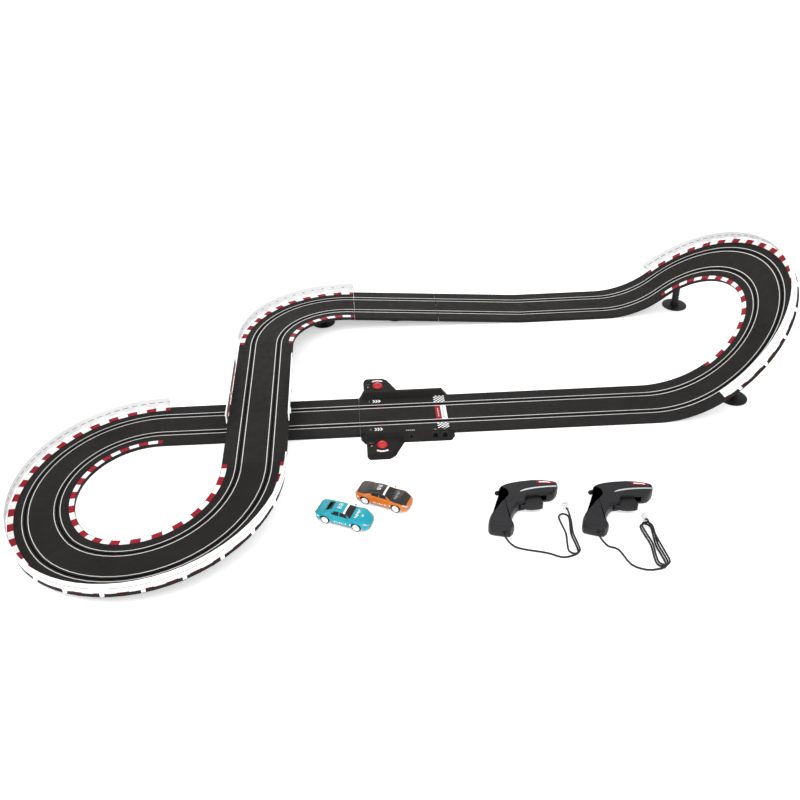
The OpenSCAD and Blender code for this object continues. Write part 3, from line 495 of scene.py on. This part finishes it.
def print_lane_marks(white, grey, z):
    """Three chevrons and a lane number outside each lane."""
    mark_y = 44.5 * MM
    for side, lane_number in ((1, 1), (-1, 2)):
        for k in range(3):
            chevron(white, (-68 + 5.4 * k) * MM, side * mark_y, z, 6.2 * MM, 8.6 * MM)
        place = Matrix.Translation((-75 * MM, side * mark_y, z))
        digit(grey, lane_number, place, 5.5 * MM)


def print_finish_line(white, red, grey, z):
    """Chequers at both ends of a red and white panel with small marks in place of a name."""
    x0, x1 = 55 * MM, 77 * MM
    chequers(white, x0, 32.5 * MM, x1, 54 * MM, z, 6, 6)
    chequers(white, x0, -50 * MM, x1, -32.5 * MM, z, 6, 5)
    middle = (x0 + x1) / 2
    panel_y = 22 * MM
    red.flat(bar(x0, -panel_y, middle, panel_y, z))
    white.flat(bar(middle, -panel_y, x1, panel_y, z))
    grey_x = middle + 3 * MM
    white_x = middle - 7 * MM
    for k in range(-6, 7):
        y = k * 3 * MM
        reach = (2.4 + (k % 3)) * MM
        grey.flat(bar(grey_x, y - 0.7 * MM, grey_x + reach, y + 0.7 * MM, z + PRINT))
        if abs(k) < 5:
            white.flat(bar(white_x, y - 0.6 * MM, white_x + reach * 0.7, y + 0.6 * MM, z + PRINT))


def print_counter_panel(white, red, grey, side, counter, z):
    """Scale round a lap counter knob, three bars by its window and a red bar at its lever."""
    low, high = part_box("lap_knob_%d" % counter)
    x, y = (low.x + high.x) / 2, (low.y + high.y) / 2
    platform_z = 9 * MM + PRINT
    mark_r = 18.6 * MM
    arc_band(white, x, y, platform_z, 16.5 * MM, 4.2 * MM, side * 90, 34)
    for k in range(-3, 4):
        a = math.radians(side * 90 + 8.5 * k)
        mark_x = x + mark_r * math.cos(a)
        mark_y = y + mark_r * math.sin(a)
        grey.flat(bar(
            mark_x - 0.5 * MM, mark_y - 0.9 * MM, mark_x + 0.5 * MM, mark_y + 0.9 * MM,
            platform_z + PRINT,
        ))
    for k in range(3):
        bar_x = x + (-24 + 3 * k) * MM
        grey.flat(bar(bar_x, y + 5 * MM, bar_x + 2 * MM, y + 5.7 * MM, platform_z))
    lever_y = side * 29.4 * MM
    red.flat(bar(-57 * MM, lever_y - 0.6 * MM, -47 * MM, lever_y + 0.6 * MM, z))


def print_ridge(grey, z):
    """Small marks over the power jack and the two controller sockets."""
    for k in range(5):
        x = (-8 + 3.6 * k) * MM
        grey.flat(bar(x, -65.5 * MM, x + 2.4 * MM, -62.5 * MM, z))
    for x in (48, 66):
        grey.flat(bar((x - 2.5) * MM, -65.5 * MM, (x + 2.5) * MM, -64.6 * MM, z))
        grey.flat(bar((x - 0.5) * MM, -64 * MM, (x + 0.5) * MM, -62.4 * MM, z))


def make_start_prints():
    white, red, grey = Sheet(), Sheet(), Sheet()
    z = ROAD_Z + PRINT
    print_lane_marks(white, grey, z)
    print_finish_line(white, red, grey, z)
    for side, counter in ((-1, 1), (1, 2)):
        print_counter_panel(white, red, grey, side, counter, z)
    print_ridge(grey, deck_high.z + PRINT)
    white.make("start_white_print", WHITE_PRINT, "track", "track_plastic")
    red.make("start_red_print", RED_PRINT, "track", "track_plastic")
    grey.make("start_grey_print", GREY_PRINT, "track", "track_plastic")


def make_number_wheels():
    """Numbers on each lap counter wheel; one of them shows in the window."""
    number_r = 20 * MM
    for counter in (1, 2):
        numbers = Sheet()
        low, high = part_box("number_wheel_%d" % counter)
        centre = Vector(((low.x + high.x) / 2, (low.y + high.y) / 2, high.z + PRINT))
        for k in range(10):
            a = math.radians(180 + 36 * k)
            reach = Vector((math.cos(a), math.sin(a), 0)) * number_r
            turned = Matrix.Rotation(math.radians(36 * k), 4, "Z")
            digit(numbers, k, Matrix.Translation(centre + reach) @ turned, 4.4 * MM, 0.2)
        numbers.make("lap_numbers_%d" % counter, WHITE_PRINT, "lap_dial_%d" % counter, "wheel_red")


def make_joint_seam_shade():
    """Near-black marks beside the joints between straight pieces, at the connector tabs: painted shade in the
    joint seams.
    """
    marks = Sheet()
    half_x, half_y = 1.6 * MM, 0.8 * MM
    straight_joints = [(i * P, 0.0) for i in (-2.5, -1.5, -0.5, 0.5, 1.5, 2.5)]
    straight_joints += [(i * P, 2 * P) for i in (1.5, 2.5)]
    for x, y in straight_joints:
        if abs(x - BRIDGE_X) < ROAD_HALF:
            continue
        for dy in (-44, -12, 9, 12, 44):
            for side in (-1, 1):
                cx = x + side * (5 + abs(dy) % 5) * MM
                cy = y + dy * MM
                marks.flat(bar(cx - half_x, cy - half_y, cx + half_x, cy + half_y, ROAD_Z + PRINT / 2))
    marks.make("joint_tab_marks", SEAM, "track", "track_plastic")


# ---------- Cars ----------


def joint(name):
    return next(j for j in frame["joints"] if j["name"] == name)


TYRE_R = 8.3 * MM
RIM_R = 6.35 * MM
CAR_SLOTS = {"car_1": "car_teal", "car_2": "car_orange"}


def car_frame(car):
    """Place of a car: X forward, Z up, origin on its tyres midway between the axles."""
    front = Vector(joint(car + "_front_wheels_spin")["pos_m"])
    rear = Vector(joint(car + "_rear_wheels_spin")["pos_m"])
    ahead = (front - rear).normalized()
    left = Vector(joint(car + "_rear_wheels_spin")["axis"]).normalized()
    up = ahead.cross(left)
    origin = (front + rear) / 2 - up * TYRE_R
    place = Matrix((ahead, left, up)).transposed().to_4x4()
    return Matrix.Translation(origin) @ place


def profile(knots, x):
    """Value at x of a smooth curve through (x, value) knots."""
    if x <= knots[0][0]:
        return knots[0][1]
    for (x0, v0), (x1, v1) in zip(knots, knots[1:]):
        if x <= x1:
            t = (x - x0) / (x1 - x0)
            t = t * t * (3 - 2 * t) * 0.4 + t * 0.6
            return v0 + (v1 - v0) * t
    return knots[-1][1]


# A car in millimetres: its ends, then its roof line, half width and shoulder as (x, value).
TAIL, NOSE, HALF_BASE = -49.0, 50.0, 29.0
TOP_LINE = [
    (-49, 16), (-47.5, 19.5), (-43, 21.4), (-33, 21.9), (-18, 28), (-5, 29.2), (4, 28.2),
    (18, 21.2), (32, 20), (42, 17.2), (47.5, 13.6), (50, 10.5),
]
WIDTH_LINE = [
    (-49, 14.5), (-47, 17.6), (-42, 19.8), (-30, 21), (-14, 20), (10, 20), (28, 21),
    (39, 19.6), (46, 16.4), (50, 10.5),
]
BELT_LINE = [(-49, 15.4), (-44, 19.4), (-25, 20.2), (14, 19.4), (32, 18), (42, 15.4), (50, 10)]
SILL_Z = 4.0
ARCH_R = 9.7                                       # wheel arch, round the axle
AXLE_Z = TYRE_R / MM


def car_section(x):
    """Half section of the body at x, as (y, z) from the sill up to the middle of the roof."""
    top, half, belt = profile(TOP_LINE, x), profile(WIDTH_LINE, x), profile(BELT_LINE, x)
    low = SILL_Z
    for wheel_x in (-HALF_BASE, HALF_BASE):
        if abs(x - wheel_x) < ARCH_R:
            low = max(low, AXLE_Z + math.sqrt(ARCH_R ** 2 - (x - wheel_x) ** 2))
    low = min(low, belt - 1.6)
    cabin = max(0.0, min(1.0, (top - 21.5) / 5.5))
    roof_half = (half - 4.2) * (1 - cabin) + 13.0 * cabin
    rail_z = top - 0.5 - 0.9 * cabin
    side_z = belt + 1.0 + (rail_z - belt - 1.0) * 0.55
    return [
        (half - 1.6, low),
        (half - 0.1, max(9.5, low + 0.5)) if low < 9 else (half + 0.3, low + 0.5),
        (half, max(13.0, low + 1.0)),
        (half - 0.7, max(belt - 2.2, low + 1.3)),
        (half - 2.0, belt),
        (half - 3.0 - 0.6 * cabin, min(belt + 1.0, top)),
        ((half - 3.6) * 0.45 + roof_half * 0.55, side_z),
        (roof_half, rail_z),
        (roof_half * 0.72, top - 0.2),
        (roof_half * 0.36, top + 0.1),
        (0.0, top + 0.2),
    ]


PAINT, WINDOW, BLACK, STRIPE, LAMPS = range(5)
CABIN_Z = 22.4                                     # the roof line is higher over the cabin
DOOR_GLASS = (-17, 12)
DOOR_GLASS_TOP = (-14, 9)
PILLAR_X, PILLAR_HALF = -3.5, 0.9
SCREEN = (6.5, 17.5)                               # windscreen, from its top to its foot
SCREEN_STRIPE = 3.2                                # rear edge of the white stripe over it
REAR_SCREEN = (-31, -19.5)
BLACK_TOP = (-46.5, 46)                            # ends of the black upper side of car 2
LAMPS_X = 41.5                                     # headlamps lie ahead of this


def car_zone(car, x, row):
    """Material of one face of the body by its place; row counts from the sill to the roof."""
    cabin = profile(TOP_LINE, x) > CABIN_Z
    door = DOOR_GLASS[0] < x < DOOR_GLASS[1] and abs(x - PILLAR_X) > PILLAR_HALF
    door_top = door and DOOR_GLASS_TOP[0] < x < DOOR_GLASS_TOP[1]
    if (row == 5 and door) or (row == 6 and (door_top if cabin else door)):
        return WINDOW
    upper = row >= 7
    if upper and SCREEN[0] < x < SCREEN[1]:
        return WINDOW
    if upper and SCREEN_STRIPE < x <= SCREEN[0]:
        return STRIPE
    if car == "car_1" and row >= 8 and REAR_SCREEN[0] < x < REAR_SCREEN[1]:
        return WINDOW
    beside_screen = x >= SCREEN[1] or x <= SCREEN_STRIPE
    if car == "car_2" and row >= 6 and beside_screen and BLACK_TOP[0] < x < BLACK_TOP[1]:
        return BLACK
    if row in (4, 5) and x > LAMPS_X:
        return LAMPS
    return PAINT


STATIONS = 67                                      # cross sections from tail to nose


def make_car(car, paint):
    """Body of a car: a smooth loft with wheel arches, windows and racing colours."""
    place = car_frame(car)
    stations = [TAIL + (NOSE - TAIL) * i / (STATIONS - 1) for i in range(STATIONS)]
    points, faces, picks = [], [], []
    rows = len(car_section(0)) * 2 - 1
    for x in stations:
        half = car_section(x)
        loop = [(x, -y, z) for y, z in half] + [(x, y, z) for y, z in half[-2::-1]]
        points += [place @ (Vector(p) * MM) for p in loop]
    for i in range(len(stations) - 1):
        middle_x = (stations[i] + stations[i + 1]) / 2
        for j in range(rows - 1):
            a = i * rows + j
            faces.append((a, a + rows, a + rows + 1, a + 1))
            picks.append(car_zone(car, middle_x, min(j, rows - 2 - j)))
    for first in (0, (len(stations) - 1) * rows):
        faces.append(tuple(range(first, first + rows))[:: 1 if first == 0 else -1])
        picks.append(PAINT)
    materials = [paint, GLASS, CAR_BLACK, WHITE_PRINT, LAMP]
    body = mesh_piece(car + "_body", points, faces, materials, car, picks)
    for face in body.data.polygons:
        face.use_smooth = True
    smooth = body.modifiers.new("smooth", "SUBSURF")
    smooth.levels = 1
    smooth.render_levels = 2
    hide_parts(car + "_body_shell", car + "_glazing")
    make_car_prints(car, place)
    make_car_details(car, place, paint)


def on_car(place, x, y, z):
    return place @ Vector((x * MM, y * MM, z * MM))


def roof_z(x, y):
    """Height of the body over a point near its middle line."""
    half = car_section(x)[::-1]
    for (y0, z0), (y1, z1) in zip(half, half[1:]):
        if abs(y) <= y1:
            t = (abs(y) - y0) / (y1 - y0)
            return z0 + (z1 - z0) * t
    return half[-1][1]


def top_print(sheet, place, x0, y0, x1, y1):
    """Rectangle laid on the top of the body, cut into strips so that it follows the form."""
    parts = max(1, round(abs(x1 - x0)))
    lift = 0.35
    for i in range(parts):
        a = x0 + (x1 - x0) * i / parts
        b = x0 + (x1 - x0) * (i + 1) / parts
        sheet.face([
            on_car(place, a, y0, roof_z(a, y0) + lift),
            on_car(place, b, y0, roof_z(b, y0) + lift),
            on_car(place, b, y1, roof_z(b, y1) + lift),
            on_car(place, a, y1, roof_z(a, y1) + lift),
        ])


def side_y(x, z):
    """Half width of the body at a height on its side."""
    half = car_section(x)
    for (y0, z0), (y1, z1) in zip(half, half[1:]):
        if z0 <= z <= z1 and z1 > z0:
            return y0 + (y1 - y0) * (z - z0) / (z1 - z0)
    return half[2][0]


def side_print(sheet, place, outline):
    """Slanted bar on both sides of the body: x0, x1, low z, high z and slant."""
    x0, x1, z0, z1, slant = outline
    parts = max(1, round((x1 - x0) / 1.5))
    for side in (-1, 1):
        for i in range(parts):
            a = x0 + (x1 - x0) * i / parts
            b = x0 + (x1 - x0) * (i + 1) / parts
            corners = []
            for x, z in ((a, z0), (b, z0), (b + slant, z1), (a + slant, z1)):
                corners.append(on_car(place, x, side * (side_y(x, z) + 0.3), z))
            sheet.face(corners[::-side])


# Bars of the plain sign that lies twice on the roof, as x0, y0, x1, y1 from its middle.
ROOF_SIGN = [
    (-3.4, -2.4, -2.4, 2.4), (2.4, -2.4, 3.4, 2.4), (-2.4, 1.5, 2.4, 2.4),
    (-2.4, -2.4, 2.4, -1.5), (-0.5, -1.5, 0.5, 1.5),
]


def make_car_prints(car, place):
    """Plain bars in place of the racing number, the bonnet sign and the stickers."""
    white, grey = Sheet(), Sheet()
    sign_x = -6.5 if car == "car_1" else -7.5
    for y in (-3.6, 3.6):
        for x0, y0, x1, y1 in ROOF_SIGN:
            top_print(white, place, sign_x + x0, y + y0, sign_x + x1, y + y1)
    bonnet = white if car == "car_1" else grey
    for k in range(7):
        y = -9 + 3 * k
        top_print(bonnet, place, 22 + (k % 2), y - 0.9, 25.5 + (k % 3), y + 0.9)
    if car == "car_1":
        for k in range(-1, 2):
            top_print(white, place, 32 + abs(k), 1.9 * k - 0.6, 36 - abs(k), 1.9 * k + 0.6)
    for k in range(7):
        x = -12 + 3.4 * k
        side_print(white, place, (x, x + 1.6, 8.8 + (k % 2), 12.6 - (k % 3) * 0.8, 1.2))
    side_print(grey, place, (-16, 16, 6.4, 7.4, 0))
    side_print(white, place, (-44.5, -40, 13.5, 15.5, 0.8))
    side_print(white, place, (17.5, 20, 11, 14, 0.6))
    white.make(car + "_white_print", WHITE_PRINT, car, CAR_SLOTS[car])
    grey.make(car + "_grey_print", GREY_PRINT, car, CAR_SLOTS[car])


def make_car_details(car, place, paint):
    """Door mirrors, tail lamps, a grille with three bars and a dark panel at the rear."""
    details = Sheet()
    picks = []

    def box(low, high, pick):
        details.box([
            on_car(place, x, y, z)
            for x in (low[0], high[0]) for y in (low[1], high[1]) for z in (low[2], high[2])
        ])
        picks.extend([pick] * len(BOX_FACES))

    body_colour, lamp, black, silver = range(4)
    for side in (-1, 1):
        box((12, side * 18.2, 20.2), (14.4, side * 21.0, 22.4), body_colour)
        box((-49.3, side * 9, 14.2), (-48.6, side * 15, 16.4), lamp)
    box((49.2, -8, 6.2), (50.2, 8, 9.0), black)
    for k in range(3):
        box((50.1, -7.5, 6.7 + 0.8 * k), (50.4, 7.5, 7.0 + 0.8 * k), silver)
    box((-49.4, -6, 8), (-48.8, 6, 11), black)
    materials = [paint, KNOB, CAR_BLACK, SILVER]
    piece = mesh_piece(
        car + "_details", details.points, details.faces, materials, car, picks,
    )
    round_edges(piece, 0.01 * MM, 0.3 * MM)


def paint_wheels(car):
    """Black tyre round each white rim."""
    edge = 0.2 * MM
    for end in ("front", "rear"):
        spin = joint("%s_%s_wheels_spin" % (car, end))
        centre, axis = Vector(spin["pos_m"]), Vector(spin["axis"]).normalized()
        mesh = frame["nodes"]["%s_%s_wheels" % (car, end)].data
        mesh.materials.clear()
        mesh.materials.append(RIM)
        mesh.materials.append(TYRE)
        for face in mesh.polygons:
            corners = [mesh.vertices[i].co - centre for i in face.vertices]
            reach = [(c - axis * c.dot(axis)).length for c in corners]
            on_tyre = min(reach) > RIM_R - edge and max(reach) > RIM_R + edge
            face.material_index = 1 if on_tyre else 0


# ---------- Controllers ----------


def controller_frame(name):
    """Place of a controller: origin on the floor under its trigger pin, X along its barrel."""
    pin = Vector(joint(name + "_trigger_squeeze")["pos_m"])
    press = Vector(joint(name + "_turbo_press")["axis"])
    yaw = math.atan2(press.y, press.x) - math.radians(12)
    return Matrix.Translation((pin.x, pin.y, 0)) @ Matrix.Rotation(yaw, 4, "Z")


def smooth_line(knots, parts=8):
    """Points along a smooth line through (x, y) knots."""
    line = []
    for i in range(len(knots) - 1):
        a, b, c, d = (Vector(knots[max(0, min(len(knots) - 1, i + k))]) for k in (-1, 0, 1, 2))
        for k in range(parts):
            t = k / parts
            cubic = 2 * a - 5 * b + 4 * c - d + t * (3 * (b - c) + d - a)
            line.append(b + 0.5 * t * (c - a + t * cubic))
    line.append(Vector(knots[-1]))
    return line


def raised_band(name, place, upper, lower, z, height, material, body, slot):
    """Slightly raised band between two lines on the flat of a controller."""
    sheet = Sheet()
    top = [place @ Vector((p.x * MM, p.y * MM, z + height)) for p in upper]
    bottom = [place @ Vector((p.x * MM, p.y * MM, z + height)) for p in lower]
    drop = Vector((0, 0, height))
    for i in range(len(top) - 1):
        sheet.face([bottom[i], bottom[i + 1], top[i + 1], top[i]])
        sheet.face([top[i], top[i + 1], top[i + 1] - drop, top[i] - drop])
        sheet.face([bottom[i + 1], bottom[i], bottom[i] - drop, bottom[i + 1] - drop])
    return sheet.make(name, material, body, slot)


# Each band on a controller: its upper and lower line in the controller's frame, in millimetres.
SILVER_STRIPE = (
    [(2, 19), (12, 22.5), (30, 24.6), (50, 24.8), (66, 23.8)],
    [(0, 16.6), (13, 19.4), (30, 21.6), (50, 22), (65, 21)],
)
RED_LABEL = (
    [(34, 39.6), (44, 38.6), (56, 36.2), (62, 33.6)],
    [(34, 33.4), (44, 32.6), (56, 30.8), (63, 29.4)],
)
LABEL_BAR = (
    [(38, 37.4), (48, 36.2), (57, 33.8)],
    [(38, 35.2), (48, 34), (57, 31.9)],
)
# Near-black band along the seam at the butt of the grip: painted shade in the seam.
BUTT_SEAM_SHADE = (
    [(-62, -43), (-50, -48), (-38, -50), (-28, -46)],
    [(-62, -44), (-50, -49), (-38, -51), (-28, -47)],
)
RIBS = 6


def make_grip_ribs(name, place, top_z):
    """Low ribs across the back of the grip."""
    ribs = Sheet()
    ridge = 0.35 * MM
    for k in range(RIBS):
        t = k / (RIBS - 1)
        spot = Matrix.Translation(((-20 - 22 * t) * MM, (4 - 36 * t) * MM, top_z))
        turned = place @ spot @ Matrix.Rotation(math.radians(-32), 4, "Z")
        ribs.flat([
            (-7 * MM, -0.6 * MM, 0), (7 * MM, -0.6 * MM, 0),
            (6.4 * MM, 0.6 * MM, ridge), (-6.4 * MM, 0.6 * MM, ridge),
        ], turned)
        ribs.flat([
            (-6.4 * MM, 0.6 * MM, ridge), (6.4 * MM, 0.6 * MM, ridge),
            (7 * MM, 1.4 * MM, 0), (-7 * MM, 1.4 * MM, 0),
        ], turned)
    ribs.make(name + "_grip_ribs", GRIP, name, "controller_black")


def make_controller_prints(name):
    place = controller_frame(name)
    top_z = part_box(name + "_upper_shell")[1].z
    lift = 0.25 * MM
    for part, outline, z, height, material in (
        ("_silver_stripe", SILVER_STRIPE, top_z - lift, 2 * lift, SILVER),
        ("_red_label", RED_LABEL, top_z - lift, 2 * lift, RED_PRINT),
        ("_label_bar", LABEL_BAR, top_z, 2 * lift, WHITE_PRINT),
        # The butt seam band is near-black: painted shade in the seam.
        ("_butt_seam", BUTT_SEAM_SHADE, top_z - lift, 1.5 * lift, SEAM),
    ):
        upper, lower = (smooth_line(knots) for knots in outline)
        raised_band(name + part, place, upper, lower, z, height, material, name, "controller_black")
    make_grip_ribs(name, place, top_z)


# Middle of the rear end of each plug in its controller's frame, in millimetres.
PLUGS = {"controller_1": (75, -11), "controller_2": (43, -30)}
PLUG_HALF_WIDTH = 5
PLUG_REACH = (-1.1, 12)                            # from there, back and forward


def paint_plug(name):
    """The plug at the end of the cable is clear plastic."""
    place = controller_frame(name).inverted()
    mesh = frame["nodes"][name + "_cable"].data
    mesh.materials.append(CLEAR)
    plug_x, plug_y = PLUGS[name]
    start, end = (plug_y + reach for reach in PLUG_REACH)
    for face in mesh.polygons:
        corners = [place @ mesh.vertices[i].co / MM for i in face.vertices]
        if all(abs(c.x - plug_x) < PLUG_HALF_WIDTH and start < c.y < end for c in corners):
            face.material_index = 1


# ---------- CAD nodes ----------


CREASE = 28                                        # degrees; a sharper edge stays crisp


def smooth_node(node):
    """Rounds the shading of curved faces and keeps the real edges crisp."""
    mesh = node.data
    if "custom_normal" in mesh.attributes:
        mesh.attributes.remove(mesh.attributes["custom_normal"])
    for face in mesh.polygons:
        face.use_smooth = True
    weld = node.modifiers.new("weld", "WELD")
    weld.merge_threshold = WELD
    split = node.modifiers.new("edges", "EDGE_SPLIT")
    split.split_angle = math.radians(CREASE)


def dress_nodes():
    for part in frame["record"]["subparts"]:
        node = frame["nodes"][part["node"]]
        node.data.materials.clear()
        node.data.materials.append(SLOT_MATERIALS[part["material_slot"]])
        smooth_node(node)
    for name in ("controller_1", "controller_2"):
        paint_plug(name)
    for car in ("car_1", "car_2"):
        paint_wheels(car)


# ---------- Floor, light and camera ----------


def make_floor():
    half = 12.0
    under_floor = 0.05 * MM
    floor_material = finish(
        "studio_floor", (0.92, 0.92, 0.92), 0.6, grain=60, bump=0.02, patch=1.5, vary=0.01, round_edge=0.0,
        glow=0.35,
    )
    mesh = bpy.data.meshes.new("studio_floor")
    mesh.from_pydata(bar(-half, -half, half, half, 0), [], [(0, 1, 2, 3)])
    mesh.materials.append(floor_material)
    floor = bpy.data.objects.new("studio_floor", mesh)
    floor.location.z = -under_floor
    bpy.context.scene.collection.objects.link(floor)


def add_area(name, location, target, size, power):
    light = bpy.data.lights.new(name, "AREA")
    light.shape = "SQUARE"
    light.size = size
    light.energy = power
    lamp = bpy.data.objects.new(name, light)
    lamp.location = location
    lamp.rotation_mode = "QUATERNION"
    lamp.rotation_quaternion = (Vector(target) - Vector(location)).to_track_quat("-Z", "Y")
    bpy.context.scene.collection.objects.link(lamp)


def make_light():
    world = bpy.data.worlds.new("studio_world")
    world.use_nodes = True
    sky = world.node_tree.nodes["Background"]
    sky.inputs["Color"].default_value = (1, 1, 1, 1)
    sky.inputs["Strength"].default_value = 1.0
    bpy.context.scene.world = world
    add_area("key_light", (-1.6, -1.2, 2.6), (0, 0.1, 0), 2.4, 30)
    add_area("fill_light", (1.6, -1.0, 2.4), (0, 0.1, 0), 2.4, 20)
    add_area("front_light", (0.2, -3.2, 1.1), (0, 0.4, 0), 2.4, 34)
    add_area("back_light", (0, 2.6, 1.6), (0, 0.1, 0), 2.0, 14)
    view = bpy.context.scene.view_settings
    view.view_transform = "Standard"
    view.look = "None"


def make_camera():
    """Camera at the viewing angle of the photograph, with its lens shift."""
    location = Vector((-0.1001, -1.4289, 1.1249))
    azimuth, drop, roll = math.radians(0.386), math.radians(30.889), math.radians(-2.437)
    ahead = Vector((
        math.sin(azimuth) * math.cos(drop), math.cos(azimuth) * math.cos(drop), -math.sin(drop),
    ))
    right = Vector((math.cos(azimuth), -math.sin(azimuth), 0))
    up = right.cross(ahead)
    turned_right = right * math.cos(roll) + up * math.sin(roll)
    turned_up = up * math.cos(roll) - right * math.sin(roll)
    data = bpy.data.cameras.new("camera")
    data.sensor_width = 36
    data.lens = 41.09
    data.shift_x = 0.0538
    data.shift_y = -0.1233
    camera = bpy.data.objects.new("camera", data)
    basis = Matrix((turned_right, turned_up, -ahead)).transposed().to_4x4()
    camera.matrix_world = Matrix.Translation(location) @ basis
    bpy.context.scene.collection.objects.link(camera)
    bpy.context.scene.camera = camera


dress_nodes()
make_kerbs()
make_rail_lines()
make_clips()
make_bridge_rail_print()
make_start_prints()
make_number_wheels()
make_joint_seam_shade()
make_car("car_1", TEAL)
make_car("car_2", ORANGE)
make_controller_prints("controller_1")
make_controller_prints("controller_2")
make_floor()
make_light()
make_camera()
